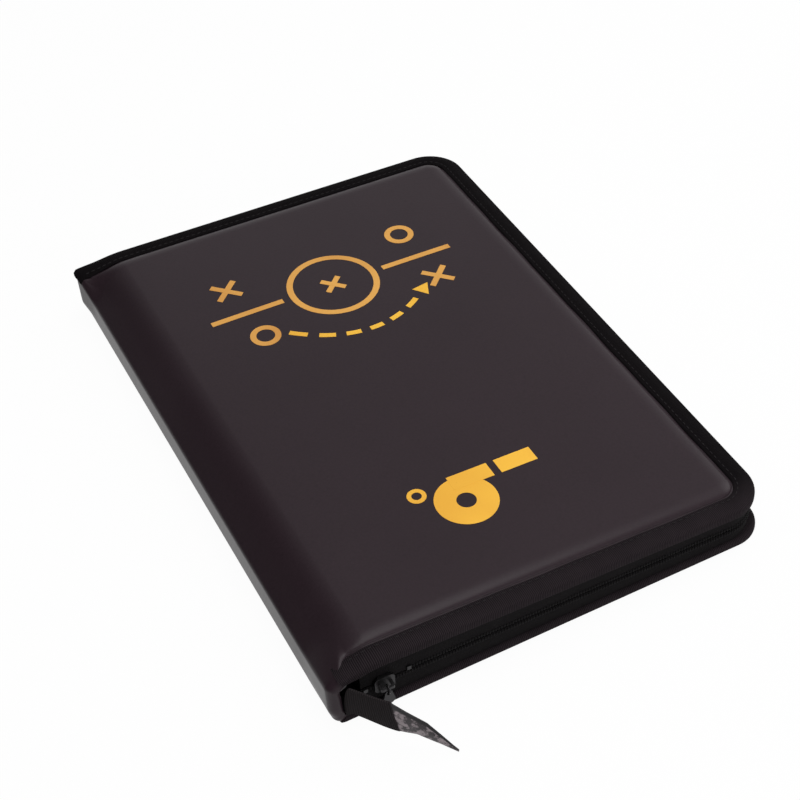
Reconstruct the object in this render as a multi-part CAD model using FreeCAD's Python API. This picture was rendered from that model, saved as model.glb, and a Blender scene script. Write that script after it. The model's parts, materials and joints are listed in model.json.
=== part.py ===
import FreeCAD
import Part
import math
import os

# Zip-round coach's folder that opens flat as a magnetic tactics board.
# Millimetres and degrees. X runs from the spine to the fore-edge, Y along the spine, Z up.
# The origin is the middle of the back cover's resting face.
# Places along X are given as distances from the spine's outer face.

Vector = FreeCAD.Vector

# Case
CASE_LENGTH = 337.0        # along the spine
CASE_WIDTH = 234.0         # spine to fore-edge
CORNER_RADIUS = 22.0       # fore-edge corners
COVER_TILT = 2.15          # fall of the closed front cover from spine to fore-edge

# Layers of a cover, from outside in
LEATHER = 1.2
FRONT_PAD = 3.4
BACK_PAD = 1.9
BOARD = 1.8
LINING = 0.6
STEEL = 0.5
PITCH_SHEET = 0.6
PAD_EDGE_LAND = 0.3        # straight foot of the padded panel's rounded edge
PAD_CLEARANCE = 0.1        # pad to the leather round it

# Steel sheet and pitch
SHEET_START = 24.0
SHEET_INSET = 11.0         # case edge to steel
PITCH_MARGIN = 0.5         # steel left showing round the pitch

# Woven edge binding, a ribbon folded round leather and board
BINDING_WIDTH = 12.0       # outer leg
BINDING_LIP = 1.4          # inner leg
BINDING_RIBBON = 0.9       # ribbon thickness
BINDING_ROUND = 1.5        # rounding of the folded edge
BINDING_SETBACK = 0.5      # fold to the binding's end

# Leather folds and spine
BACK_BEND = 5.0            # bend radius of the closed leather
FRONT_BEND = 18.0
FOLD_LAND = 1.0            # flat leather past each bend
SPINE_BOARD = 2.2

# Zip
TAPE = 0.8
TAPE_RECESS = 2.0          # case edge to the tape's standing wall
TAPE_FLANGE = 7.0          # sewn width along the cover
TAPE_START = 15.0
COIL_WIDTH = 2.4
COIL_HEIGHT = 2.2
COIL_GAP = 1.2             # between the two coils
LOWER_COIL_START = 18.0
UPPER_COIL_START = 40.0    # past the parked slider, so the cover lifts out of it
STOP_LENGTH = 2.0
SEWN_GAP = 0.2             # tape flange to binding lip and lining

# Zip slider, parked at the spine end
SLIDER_PLACE = 26.0
SLIDER_LENGTH = 10.0
SLIDER_HEIGHT = 9.0
SLIDER_PLATE = 1.0
SLIDER_CORNER = 2.0
SLIDER_RUN = 0.4           # plate to coil
SLIDER_LIP = 0.7
SLIDER_SLOT_RUN = 0.2      # lip to tape
POST_LENGTH = 2.0
POST_RUN = 0.25            # post to coil
BAIL_LENGTH = 7.2
BAIL_STAND = 3.6           # bail's outer face above the plate
BAIL_STRIP = 1.2
BAIL_WIDTH = 1.6

# Zip pull, hanging from the bail on a ring
RING_RADIUS = 2.0
RING_WIRE = 0.45
RING_RUN = 0.3             # ring to bail
EYE_RADIUS = 1.1
EYE_RUN = 0.15             # ring to eye
EYE_RIM = 0.8
PULL_LENGTH = 7.5          # eye to rounded end, clear of the table at the zip's low end
PULL_WIDTH = 6.0
PULL_THICKNESS = 1.2

# Loose tail of the zip tape, standing on its edge on the table
TAIL_HEIGHT = 20.0
TAIL_THICKNESS = 1.2
TAIL_FLOOR_GAP = 0.6
TAIL_TURN = 3.5            # turn radius in the mouth of the spine
TAIL_MOUTH = 11.0          # centre of that turn
TAIL_ROOT = 9.0            # length sewn to the lower tape
TAIL_BEARING = -47.0       # direction outside the case, from +X
TAIL_LENGTH = 20.0         # woven length outside the case
TAIL_TIP_LENGTH = 29.0     # stiffened pointed end
TAIL_TIP_THICKNESS = 1.6
TAIL_TIP_POINT = 0.8       # height left at the point
TAIL_RUN = 0.4             # tail to the case where it passes over

# Marker pen, lying along the spine with its cap towards the near edge
PEN_PLACE = 16.0
BARREL_RADIUS = 4.7
BARREL_BORE = 3.6
BARREL_LENGTH = 92.0
NECK_RADIUS = 3.9
NIB_RADIUS = 2.0
NIB_LENGTH = 8.0
INK_RUN = 0.3              # ink core to barrel
PLUG_HEAD = 3.0
PLUG_SHANK = 7.0
CAP_RADIUS = 5.4
CAP_LENGTH = 36.0
CAP_WALL = 1.2
CAP_RUN = 0.3              # cap to barrel shoulder
CAP_HEADROOM = 5.1         # nib to the cap's closed end
ERASER_LENGTH = 5.0
ERASER_INSET = 0.6         # eraser radius inside the cap's
PEN_MIDDLE = 16.0          # middle of the barrel along the spine
LOOP_RUN = 0.3             # loop to barrel
LOOP_WALL = 0.8
LOOP_WIDTH = 12.0
LOOP_FOOT = 14.0           # sewn foot across the pen
LOOP_COUNT = 2
LOOP_PITCH = 26.0          # loop to loop, the last one flush with the barrel's far end

# Magnetic discs
DISC_RADIUS = 8.0
BALL_RADIUS = 5.0
DISC_HEIGHT = 3.2
DISC_ROUND = 0.6
DISC_WALL = 2.0            # cap wall round the magnet
MAGNET_HEIGHT = 2.0
MAGNET_RUN = 0.05
DISC_CLEARANCE = 7.0       # between facing discs at the fore-edge
GOAL_INSET = 18.0          # steel's fore-edge to the keeper's middle
FORWARD_ROW = 72.0
INNER_LANE = 35.0
OUTER_LANE = 105.0
BALL_PLACE = 45.0

# Worked out from the sizes above
TILT = math.radians(COVER_TILT)
SPINE_X = -CASE_WIDTH / 2
NEAR_Y = -CASE_LENGTH / 2
BACK_BOARD_IN = LEATHER + BACK_PAD + BOARD
FRONT_BOARD_IN = LEATHER + FRONT_PAD + BOARD
BACK_INNER = BACK_BOARD_IN + LINING + STEEL + PITCH_SHEET
FRONT_INNER = FRONT_BOARD_IN + LINING + STEEL + PITCH_SHEET
FORE_GAP = 2 * DISC_HEIGHT + DISC_CLEARANCE
SPINE_HEIGHT = (BACK_INNER + FORE_GAP + FRONT_INNER / math.cos(TILT)
                + (CASE_WIDTH - SHEET_INSET) * math.tan(TILT))
GOAL_ROW = CASE_WIDTH - SHEET_INSET - GOAL_INSET
ROW_STEP = (GOAL_ROW - FORWARD_ROW) / 3
MIDDLE_ROW = FORWARD_ROW + ROW_STEP
BACK_ROW = MIDDLE_ROW + ROW_STEP
NECK_LENGTH = CAP_LENGTH - CAP_WALL + CAP_RUN - CAP_HEADROOM - NIB_LENGTH
FAR_PAST = 2 * CASE_WIDTH  # reach of the cutting blocks
MIN_CORNER = 1.0
TOUCH = 1e-4


def fold_inset(radius, turn):
    """Depth of the fold axis under both outer faces that lets the leather keep its length."""
    return radius * (1 - turn / (2 * math.tan(turn / 2)))


def cover_start(radius, turn):
    """Where a cover's flat layers start, past the leather's bend."""
    inset = fold_inset(radius, turn)
    return inset + (radius - inset) * math.tan(turn / 2) + FOLD_LAND


BACK_TURN = math.pi / 2
FRONT_TURN = math.pi / 2 + TILT
BACK_AXIS_INSET = fold_inset(BACK_BEND, BACK_TURN)
FRONT_AXIS_INSET = fold_inset(FRONT_BEND, FRONT_TURN)
BACK_START = cover_start(BACK_BEND, BACK_TURN)
FRONT_START = cover_start(FRONT_BEND, FRONT_TURN)
FRONT_AXIS_X = SPINE_X + FRONT_AXIS_INSET
FRONT_AXIS_Z = SPINE_HEIGHT - FRONT_AXIS_INSET * (1 / math.cos(TILT) + math.tan(TILT))


def front_face(x, depth=0.0):
    """Height of the closed front cover's layer at a depth under its outer face."""
    return SPINE_HEIGHT - (x - SPINE_X) * math.tan(TILT) - depth / math.cos(TILT)


def chain_height(x):
    """Height of the zip's middle plane, half way between the two bindings."""
    lower = BACK_BOARD_IN + BINDING_RIBBON
    upper = front_face(x, FRONT_BOARD_IN + BINDING_RIBBON)
    return (lower + upper) / 2


def block(x_range, y_range, z_range):
    size = [high - low for low, high in (x_range, y_range, z_range)]
    return Part.makeBox(*size, Vector(x_range[0], y_range[0], z_range[0]))


def line(first, last):
    return Part.LineSegment(first, last).toShape()


def arc(first, middle, last):
    return Part.Arc(first, middle, last).toShape()


def solid_from(edges, push):
    return Part.Face(Part.Wire(edges)).extrude(push)


def plate(inset, low, high, start):
    """Cover outline set in from the case edge, square at the fold, round at the fore-edge."""
    near = NEAR_Y + inset
    fore = CASE_WIDTH / 2 - inset
    fold = SPINE_X + start
    radius = max(CORNER_RADIUS - inset, MIN_CORNER)
    bulge = radius * (1 - math.sqrt(0.5))
    corner_a = Vector(fold, near, low)
    near_end = Vector(fore - radius, near, low)
    fore_near = Vector(fore, near + radius, low)
    fore_far = Vector(fore, -near - radius, low)
    far_end = Vector(fore - radius, -near, low)
    corner_b = Vector(fold, -near, low)
    edges = [
        line(corner_a, near_end),
        arc(near_end, Vector(fore - bulge, near + bulge, low), fore_near),
        line(fore_near, fore_far),
        arc(fore_far, Vector(fore - bulge, -near - bulge, low), far_end),
        line(far_end, corner_b),
        line(corner_b, corner_a),
    ]
    return solid_from(edges, Vector(0, 0, high - low))


def rounded_rim(solid, level, radius):
    """Rounds the rim at one level on the three open sides."""
    fold = solid.BoundBox.XMin
    rim = []
    for edge in solid.Edges:
        at_level = all(abs(corner.Z - level) < TOUCH for corner in edge.Vertexes)
        at_fold = all(abs(corner.X - fold) < TOUCH for corner in edge.Vertexes)
        if at_level and not at_fold:
            rim.append(edge)
    return solid.makeFillet(radius, rim)


def u_wall(outer, inner, low, high, start):
    """Band round the three open sides, between two insets."""
    return plate(outer, low, high, start).cut(plate(inner, low, high, start - CASE_WIDTH))


def slab(low, high):
    """Everything between two heights, each given as a function of x."""
    left = SPINE_X - CASE_WIDTH
    right = -left
    corners = [(left, low(left)), (right, low(right)), (right, high(right)), (left, high(left))]
    return prism(corners, FAR_PAST)


def prism(corners, length):
    """Profile in X and Z, run along the spine and centred on it."""
    points = [Vector(x, -length / 2, z) for x, z in corners]
    points.append(points[0])
    return Part.Face(Part.makePolygon(points)).extrude(Vector(0, length, 0))


def on_front(shape):
    """Turns a piece made like the back cover's over, onto the closed front cover."""
    placed = shape.mirror(Vector(0, 0, 0), Vector(0, 0, 1))
    placed.translate(Vector(0, 0, FRONT_AXIS_Z + FRONT_AXIS_INSET))
    placed.rotate(Vector(FRONT_AXIS_X, 0, FRONT_AXIS_Z), Vector(0, 1, 0), COVER_TILT)
    return placed


def front_point(start, depth):
    """Point of the closed front cover, from its distance past the spine and its depth."""
    along = SPINE_X + start - FRONT_AXIS_X
    above = FRONT_AXIS_INSET - depth
    x = FRONT_AXIS_X + along * math.cos(TILT) + above * math.sin(TILT)
    z = FRONT_AXIS_Z - along * math.sin(TILT) + above * math.cos(TILT)
    return x, z


def cover_skin(pad, start):
    """Leather with its padded panel standing out and a flat flange under the binding."""
    rounding = max(pad - PAD_EDGE_LAND, PAD_EDGE_LAND)
    panel = rounded_rim(plate(BINDING_WIDTH, 0, LEATHER + pad, start), 0, rounding)
    flange = plate(BINDING_RIBBON, pad, LEATHER + pad, start)
    return panel.fuse(flange).cut(pad_space(pad, start, 0)).removeSplitter()


def pad_space(pad, start, clearance):
    space = plate(BINDING_WIDTH + LEATHER + clearance, LEATHER, LEATHER + pad, start)
    rounding = pad - PAD_EDGE_LAND - LEATHER
    return rounded_rim(space, LEATHER, rounding) if rounding > PAD_EDGE_LAND else space


def cover_binding(pad, start):
    """Ribbon folded round the edge: a wide outer leg, the fold and a narrow inner lip."""
    first = start + BINDING_SETBACK
    outer_leg = pad - BINDING_RIBBON
    board_in = LEATHER + pad + BOARD
    ribbon = plate(0, outer_leg, board_in + BINDING_RIBBON, first)
    ribbon = rounded_rim(ribbon, outer_leg, BINDING_ROUND)
    ribbon = rounded_rim(ribbon, board_in + BINDING_RIBBON, BINDING_ROUND)
    open_start = first - CASE_WIDTH
    ribbon = ribbon.cut(plate(BINDING_RIBBON, pad, board_in, open_start))
    ribbon = ribbon.cut(plate(BINDING_WIDTH, outer_leg, pad, open_start))
    return ribbon.cut(plate(BINDING_LIP, board_in, board_in + BINDING_RIBBON, open_start))


def cover_layers(pad, start):
    """All the layers of one cover, outer face down at height zero."""
    board_out = LEATHER + pad
    board_in = board_out + BOARD
    lining_in = board_in + LINING
    steel_in = lining_in + STEEL
    lining_inset = TAPE_RECESS + TAPE_FLANGE + SEWN_GAP
    pitch_inset = SHEET_INSET + PITCH_MARGIN
    pitch_start = SHEET_START + PITCH_MARGIN
    return {
        "skin": cover_skin(pad, start),
        "pad": pad_space(pad, start, PAD_CLEARANCE),
        "board": plate(BINDING_RIBBON, board_out, board_in, start),
        "binding": cover_binding(pad, start),
        "lining": plate(lining_inset, board_in, lining_in, start),
        "steel_sheet": plate(SHEET_INSET, lining_in, steel_in, SHEET_START),
        "pitch_sheet": plate(pitch_inset, steel_in, steel_in + PITCH_SHEET, pitch_start),
    }


def bent_strip(start, bend_in, centre, bend_out, end):
    """Leather strip along the spine: straight, one bend round a centre, straight."""
    near = NEAR_Y

    def at(point):
        return Vector(point[0], near, point[1])

    middle = at(centre)
    inward_in = (middle - at(bend_in)).normalize() * LEATHER
    inward_out = (middle - at(bend_out)).normalize() * LEATHER
    outward = (at(bend_in) - middle) + (at(bend_out) - middle)
    outward.normalize()
    radius = (at(bend_in) - middle).Length
    edges = [
        line(at(start), at(bend_in)),
        arc(at(bend_in), middle + outward * radius, at(bend_out)),
        line(at(bend_out), at(end)),
        line(at(end), at(end) + inward_out),
        line(at(end) + inward_out, at(bend_out) + inward_out),
        arc(at(bend_out) + inward_out, middle + outward * (radius - LEATHER), at(bend_in) + inward_in),
        line(at(bend_in) + inward_in, at(start) + inward_in),
        line(at(start) + inward_in, at(start)),
    ]
    return solid_from(edges, Vector(0, CASE_LENGTH, 0))


def spine_pieces():
    """Stiffened spine with the two leather folds and the lining that bridges them inside."""
    front_centre = (SPINE_X + FRONT_BEND, front_face(SPINE_X + FRONT_BEND, FRONT_BEND))
    front_bend_out = (front_centre[0] + FRONT_BEND * math.sin(TILT),
                      front_centre[1] + FRONT_BEND * math.cos(TILT))
    foot = BACK_BEND + FOLD_LAND
    head = front_centre[1] - FOLD_LAND
    board_x = SPINE_X + LEATHER
    lining_x = board_x + SPINE_BOARD
    inner_x = lining_x + LINING
    along = (NEAR_Y, -NEAR_Y)
    lining_inset = TAPE_RECESS + TAPE_FLANGE + SEWN_GAP
    lining_length = CASE_LENGTH - 2 * lining_inset
    lined = (-lining_length / 2, lining_length / 2)
    back_edge = SPINE_X + BACK_START
    lining_in = BACK_BOARD_IN + LINING
    return {
        "spine_skin": block((SPINE_X, board_x), along, (foot, head)),
        "spine_board": block((board_x, lining_x), along, (foot, head)),
        "spine_lining": block((lining_x, inner_x), lined, (foot, head)),
        "back_fold": bent_strip(
            (SPINE_X, foot), (SPINE_X, BACK_BEND), (SPINE_X + BACK_BEND, BACK_BEND),
            (SPINE_X + BACK_BEND, 0), (back_edge, 0)),
        "front_fold": bent_strip(
            (SPINE_X, head), (SPINE_X, front_centre[1]), front_centre,
            front_bend_out, front_point(FRONT_START, 0)),
        "back_hinge_lining": prism(
            [(back_edge, BACK_BOARD_IN), (back_edge, lining_in), (inner_x, foot), (lining_x, foot)],
            lining_length),
        "front_hinge_lining": prism(
            [(lining_x, head), (inner_x, head), front_point(FRONT_START, FRONT_BOARD_IN + LINING),
             front_point(FRONT_START, FRONT_BOARD_IN)],
            lining_length),
    }


def zip_pieces():
    """Tapes sewn inside the covers' edges, with a coil and end stops along each standing edge."""
    half_gap = COIL_GAP / 2
    coil_far = half_gap + COIL_HEIGHT
    wall = (TAPE_RECESS, TAPE_RECESS + TAPE)
    coil_middle = TAPE_RECESS + TAPE / 2
    coil = (coil_middle - COIL_WIDTH / 2, coil_middle + COIL_WIDTH / 2)
    flange = (TAPE_RECESS, TAPE_RECESS + TAPE_FLANGE)
    top = 2 * SPINE_HEIGHT

    below = slab(lambda x: 0, lambda x: chain_height(x) - coil_far)
    lower_row = slab(lambda x: chain_height(x) - coil_far, lambda x: chain_height(x) - half_gap)
    upper_row = slab(lambda x: chain_height(x) + half_gap, lambda x: chain_height(x) + coil_far)
    above = slab(lambda x: chain_height(x) + coil_far, lambda x: front_face(x, FRONT_BOARD_IN))

    lower_wall = u_wall(*wall, BACK_BOARD_IN, top, TAPE_START).common(below)
    lower_flange = u_wall(*flange, BACK_BOARD_IN, BACK_BOARD_IN + TAPE, TAPE_START)
    upper_wall = u_wall(*wall, 0, top, TAPE_START).common(above)
    upper_flange = u_wall(*flange, FRONT_BOARD_IN, FRONT_BOARD_IN + TAPE, TAPE_START)

    def row(space, start):
        whole = u_wall(*coil, 0, top, start - STOP_LENGTH).common(space)
        chain = u_wall(*coil, 0, top, start).common(space)
        return chain, whole.cut(chain)

    lower_coil, lower_stops = row(lower_row, LOWER_COIL_START)
    upper_coil, upper_stops = row(upper_row, UPPER_COIL_START)
    return {
        "lower_zip_tape": lower_wall.fuse(lower_flange).removeSplitter(),
        "lower_zip_coil": lower_coil,
        "lower_zip_stops": lower_stops,
        "upper_zip_tape": upper_wall.fuse(on_front(upper_flange)).removeSplitter(),
        "upper_zip_coil": upper_coil,
        "upper_zip_stops": upper_stops,
    }


SLIDER_GAP = COIL_WIDTH + 2 * SLIDER_RUN
PLATE_OUT = SLIDER_GAP / 2 + SLIDER_PLATE
BAIL_BAR = PLATE_OUT + BAIL_STAND - BAIL_STRIP / 2


def on_chain(shape):
    """Places a piece made round the origin at the parked slider, square to the sloping zip."""
    x = SPINE_X + SLIDER_PLACE
    slope = math.degrees(math.atan(math.tan(TILT) / 2))
    shape.rotate(Vector(0, 0, 0), Vector(0, 1, 0), slope)
    shape.translate(Vector(x, NEAR_Y + TAPE_RECESS + TAPE / 2, chain_height(x)))
    return shape


def slider_pieces():
    """Two plates joined by a post between the coils, lips along the tapes, and the bail outside."""
    half = SLIDER_HEIGHT / 2
    length = (-SLIDER_LENGTH / 2, SLIDER_LENGTH / 2)
    slot = TAPE / 2 + SLIDER_SLOT_RUN
    post_half = COIL_GAP / 2 - POST_RUN
    pieces = []
    for side in (-1, 1):
        across = sorted((side * SLIDER_GAP / 2, side * PLATE_OUT))
        face = block(length, across, (-half, half))
        corners = [edge for edge in face.Edges if abs(edge.BoundBox.YLength - SLIDER_PLATE) < TOUCH]
        pieces.append(face.makeFillet(SLIDER_CORNER, corners))
        lip = sorted((side * slot, side * SLIDER_GAP / 2))
        lip_length = (length[0] + SLIDER_CORNER, length[1] - SLIDER_CORNER)
        pieces.append(block(lip_length, lip, (half - SLIDER_LIP, half)))
        pieces.append(block(lip_length, lip, (-half, SLIDER_LIP - half)))
    post = block((length[1] - POST_LENGTH, length[1]), (-SLIDER_GAP / 2, SLIDER_GAP / 2),
                 (-post_half, post_half))
    body = post.multiFuse(pieces).removeSplitter()

    arch = block((-BAIL_LENGTH / 2, BAIL_LENGTH / 2), (-PLATE_OUT - BAIL_STAND, -PLATE_OUT),
                 (-BAIL_WIDTH / 2, BAIL_WIDTH / 2))
    shoulders = [edge for edge in arch.Edges if abs(edge.BoundBox.YMax + PLATE_OUT + BAIL_STAND) < TOUCH
                 and edge.BoundBox.ZLength > TOUCH]
    arch = arch.makeFillet(BAIL_STRIP, shoulders)
    inside = BAIL_LENGTH / 2 - BAIL_STRIP
    hollow = block((-inside, inside), (BAIL_STRIP - PLATE_OUT - BAIL_STAND, -PLATE_OUT),
                   (-BAIL_WIDTH, BAIL_WIDTH))
    return {"slider_body": on_chain(body), "slider_bail": on_chain(arch.cut(hollow))}


def pull_pieces():
    """Ring round the bail and a tab that hangs from it by its eye."""
    ring_z = BAIL_WIDTH / 2 + RING_RUN + RING_WIRE - RING_RADIUS
    ring = Part.makeTorus(RING_RADIUS, RING_WIRE, Vector(0, -BAIL_BAR, ring_z), Vector(1, 0, 0))
    eye_z = ring_z - RING_RADIUS - (EYE_RADIUS - RING_WIRE - EYE_RUN)
    face_y = -BAIL_BAR - PULL_THICKNESS / 2
    eye_half = EYE_RADIUS + EYE_RIM
    end_half = PULL_WIDTH / 2
    end_z = eye_z - PULL_LENGTH + end_half

    def at(x, z):
        return Vector(x, face_y, z)

    edges = [
        arc(at(-eye_half, eye_z), at(0, eye_z + eye_half), at(eye_half, eye_z)),
        line(at(eye_half, eye_z), at(end_half, end_z)),
        arc(at(end_half, end_z), at(0, end_z - end_half), at(-end_half, end_z)),
        line(at(-end_half, end_z), at(-eye_half, eye_z)),
    ]
    tab = solid_from(edges, Vector(0, PULL_THICKNESS, 0))
    tab = tab.cut(Part.makeCylinder(EYE_RADIUS, PULL_THICKNESS, at(0, eye_z), Vector(0, 1, 0)))
    return {"pull_ring": on_chain(ring), "pull_tab": on_chain(tab)}


def tail_pieces():
    """Tape end that leaves the case at the spine's mouth, turns back and runs out over the table."""
    root_y = NEAR_Y + TAPE_RECESS + TAPE + TAIL_THICKNESS / 2
    centre = Vector(SPINE_X + TAIL_MOUTH, root_y - TAIL_TURN, TAIL_FLOOR_GAP)
    bearing = math.radians(TAIL_BEARING)
    run = Vector(math.cos(bearing), math.sin(bearing), 0)
    side = Vector(-run.y, run.x, 0)
    turn_end = -side
    turn_middle = Vector(0, 1, 0) + turn_end
    if turn_middle.x > 0:
        turn_middle = -turn_middle
    turn_middle.normalize()

    def on_turn(direction, offset):
        return centre + direction * (TAIL_TURN + offset)

    half = TAIL_THICKNESS / 2
    root = Vector(TAIL_ROOT, 0, 0)
    up = Vector(0, 1, 0)
    end = run * TAIL_LENGTH
    edges = [
        line(on_turn(up, half) + root, on_turn(up, half)),
        arc(on_turn(up, half), on_turn(turn_middle, half), on_turn(turn_end, half)),
        line(on_turn(turn_end, half), on_turn(turn_end, half) + end),
        line(on_turn(turn_end, half) + end, on_turn(turn_end, -half) + end),
        line(on_turn(turn_end, -half) + end, on_turn(turn_end, -half)),
        arc(on_turn(turn_end, -half), on_turn(turn_middle, -half), on_turn(up, -half)),
        line(on_turn(up, -half), on_turn(up, -half) + root),
        line(on_turn(up, -half) + root, on_turn(up, half) + root),
    ]
    strap = solid_from(edges, Vector(0, 0, TAIL_HEIGHT))
    sill = BACK_BOARD_IN + TAPE + TAIL_RUN
    inside = block((SPINE_X - CASE_WIDTH, CASE_WIDTH), (NEAR_Y - TAIL_RUN, CASE_LENGTH), (-sill, sill))
    root_x = SPINE_X + TAIL_MOUTH
    tape_top = chain_height(root_x + TAIL_ROOT) - COIL_GAP / 2 - COIL_HEIGHT
    over_root = block((root_x, CASE_WIDTH), (NEAR_Y, CASE_LENGTH), (tape_top, 2 * SPINE_HEIGHT))
    strap = strap.cut(inside).cut(over_root)

    tip_half = TAIL_TIP_THICKNESS / 2
    foot = centre + turn_end * TAIL_TURN + end - side * tip_half
    tall = Vector(0, 0, TAIL_HEIGHT)
    point = foot + run * TAIL_TIP_LENGTH
    shoulder = foot + run * (TAIL_TIP_LENGTH * math.sin(math.pi / 4)) + tall * math.sin(math.pi / 4)
    tip_edges = [
        line(foot, point),
        line(point, point + Vector(0, 0, TAIL_TIP_POINT)),
        arc(point + Vector(0, 0, TAIL_TIP_POINT), shoulder, foot + tall),
        line(foot + tall, foot),
    ]
    tip = solid_from(tip_edges, side * TAIL_TIP_THICKNESS)
    return {"zip_tail_tape": strap, "zip_tail_tip": tip}


PEN_Z = BACK_BOARD_IN + LINING + LOOP_WALL + LOOP_RUN + BARREL_RADIUS
BARREL_NEAR = PEN_MIDDLE - BARREL_LENGTH / 2
BARREL_FAR = PEN_MIDDLE + BARREL_LENGTH / 2


def along_pen(radius, first, last):
    """Round bar on the pen's axis between two places along the spine."""
    return Part.makeCylinder(radius, last - first, Vector(SPINE_X + PEN_PLACE, first, PEN_Z), Vector(0, 1, 0))


def pen_pieces():
    """Marker with a stepped barrel, its core, nib and end plug, and a cap with a felt eraser."""
    neck_near = BARREL_NEAR - NECK_LENGTH
    nib_near = neck_near - NIB_LENGTH
    shank_near = BARREL_FAR - PLUG_SHANK
    barrel = along_pen(BARREL_RADIUS, BARREL_NEAR, BARREL_FAR)
    barrel = barrel.fuse(along_pen(NECK_RADIUS, neck_near, BARREL_NEAR))
    barrel = barrel.cut(along_pen(BARREL_BORE, BARREL_NEAR, BARREL_FAR))
    barrel = barrel.cut(along_pen(NIB_RADIUS, neck_near, BARREL_NEAR)).removeSplitter()
    nib = along_pen(NIB_RADIUS, nib_near, BARREL_NEAR)
    nose = [edge for edge in nib.Edges if abs(edge.BoundBox.YMax - nib_near) < TOUCH]
    plug = along_pen(BARREL_RADIUS, BARREL_FAR, BARREL_FAR + PLUG_HEAD)
    plug = plug.fuse(along_pen(BARREL_BORE, shank_near, BARREL_FAR))
    cap_open = BARREL_NEAR - CAP_RUN
    cap_shut = cap_open - CAP_LENGTH
    cap = along_pen(CAP_RADIUS, cap_shut, cap_open)
    cap = cap.cut(along_pen(CAP_RADIUS - CAP_WALL, cap_shut + CAP_WALL, cap_open))
    return {
        "pen_barrel": barrel,
        "pen_ink_core": along_pen(BARREL_BORE - INK_RUN, BARREL_NEAR, shank_near),
        "pen_nib": nib.makeFillet(NIB_RADIUS / 2, nose),
        "pen_end_plug": plug.removeSplitter(),
        "pen_cap": cap,
        "cap_eraser": along_pen(CAP_RADIUS - ERASER_INSET, cap_shut - ERASER_LENGTH, cap_shut),
    }


def pen_loops():
    """Elastic loops sewn to the back lining, open round the barrel."""
    lining = BACK_BOARD_IN + LINING
    bore = BARREL_RADIUS + LOOP_RUN
    pen_x = SPINE_X + PEN_PLACE
    loops = []
    for count in range(LOOP_COUNT):
        far_end = BARREL_FAR - count * LOOP_PITCH
        ends = (far_end - LOOP_WIDTH, far_end)
        foot = block((pen_x - LOOP_FOOT / 2, pen_x + LOOP_FOOT / 2), ends, (lining, lining + LOOP_WALL))
        band = foot.fuse(along_pen(bore + LOOP_WALL, *ends))
        loops.append(band.cut(along_pen(bore, *ends)).removeSplitter())
    return Part.makeCompound(loops)


def disc(start, y, radius):
    """Capped magnet standing on the back cover's pitch, as (cap, magnet)."""
    base = Vector(SPINE_X + start, y, BACK_INNER)
    return disc_at(base, BACK_INNER, radius)


def disc_at(base, level, radius):
    up = Vector(0, 0, 1)
    magnet_radius = radius - DISC_WALL
    cap = Part.makeCylinder(radius, DISC_HEIGHT, base, up)
    rim = [edge for edge in cap.Edges if abs(edge.BoundBox.ZMin - level - DISC_HEIGHT) < TOUCH]
    cap = cap.makeFillet(DISC_ROUND, rim)
    cap = cap.cut(Part.makeCylinder(magnet_radius + MAGNET_RUN, MAGNET_HEIGHT, base, up))
    return cap, Part.makeCylinder(magnet_radius, MAGNET_HEIGHT, base, up)


def front_disc(start, y, radius):
    base = Vector(SPINE_X + start, y, FRONT_INNER)
    return [on_front(piece) for piece in disc_at(base, FRONT_INNER, radius)]


# One team: keeper, four backs, four in the middle and one forward; the other forward is a piece apart.
TEAM_PLACES = [(GOAL_ROW, 0.0), (FORWARD_ROW, INNER_LANE)]
for team_row in (BACK_ROW, MIDDLE_ROW):
    for team_lane in (-OUTER_LANE, -INNER_LANE, INNER_LANE, OUTER_LANE):
        TEAM_PLACES.append((team_row, team_lane))


def team(make_disc):
    discs = [make_disc(row, lane, DISC_RADIUS) for row, lane in TEAM_PLACES]
    caps = Part.makeCompound([cap for cap, magnet in discs])
    magnets = Part.makeCompound([magnet for cap, magnet in discs])
    return caps, magnets


def disc_pieces():
    """Home team and ball on the back cover's pitch, away team facing them on the front's."""
    pieces = {}
    pieces["home_discs"], pieces["home_disc_magnets"] = team(disc)
    pieces["away_discs"], pieces["away_disc_magnets"] = team(front_disc)
    forward = (FORWARD_ROW, -INNER_LANE, DISC_RADIUS)
    pieces["home_forward_disc"], pieces["home_forward_magnet"] = disc(*forward)
    pieces["away_forward_disc"], pieces["away_forward_magnet"] = front_disc(*forward)
    pieces["ball_disc"], pieces["ball_magnet"] = disc(BALL_PLACE, 0.0, BALL_RADIUS)
    return pieces


def all_pieces():
    pieces = {}
    for layer, solid in cover_layers(BACK_PAD, BACK_START).items():
        pieces["back_" + layer] = solid
    for layer, solid in cover_layers(FRONT_PAD, FRONT_START).items():
        pieces["front_" + layer] = on_front(solid)
    pieces.update(spine_pieces())
    pieces.update(zip_pieces())
    pieces.update(slider_pieces())
    pieces.update(pull_pieces())
    pieces.update(tail_pieces())
    pieces.update(pen_pieces())
    pieces["pen_loops"] = pen_loops()
    pieces.update(disc_pieces())
    return pieces


os.makedirs("parts", exist_ok=True)
for name, shape in all_pieces().items():
    shape.exportStep("parts/" + name + ".step")

print("back fold axis x, z:", round(SPINE_X + BACK_AXIS_INSET, 4), round(BACK_AXIS_INSET, 4))
print("front fold axis x, z:", round(FRONT_AXIS_X, 4), round(FRONT_AXIS_Z, 4))
print("height at the spine:", round(SPINE_HEIGHT, 3))
print("slider x, z:", SPINE_X + SLIDER_PLACE, round(chain_height(SPINE_X + SLIDER_PLACE), 4))
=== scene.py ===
"""Looks of a zip-round tactics board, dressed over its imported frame.

The closed folder lies on its back cover. Sizes are millimetres in the frame's own axes: X runs from
the spine to the fore-edge, Y along the spine, Z up. Meshes are scaled to metres as they are made.
"""
import json
import math

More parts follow.
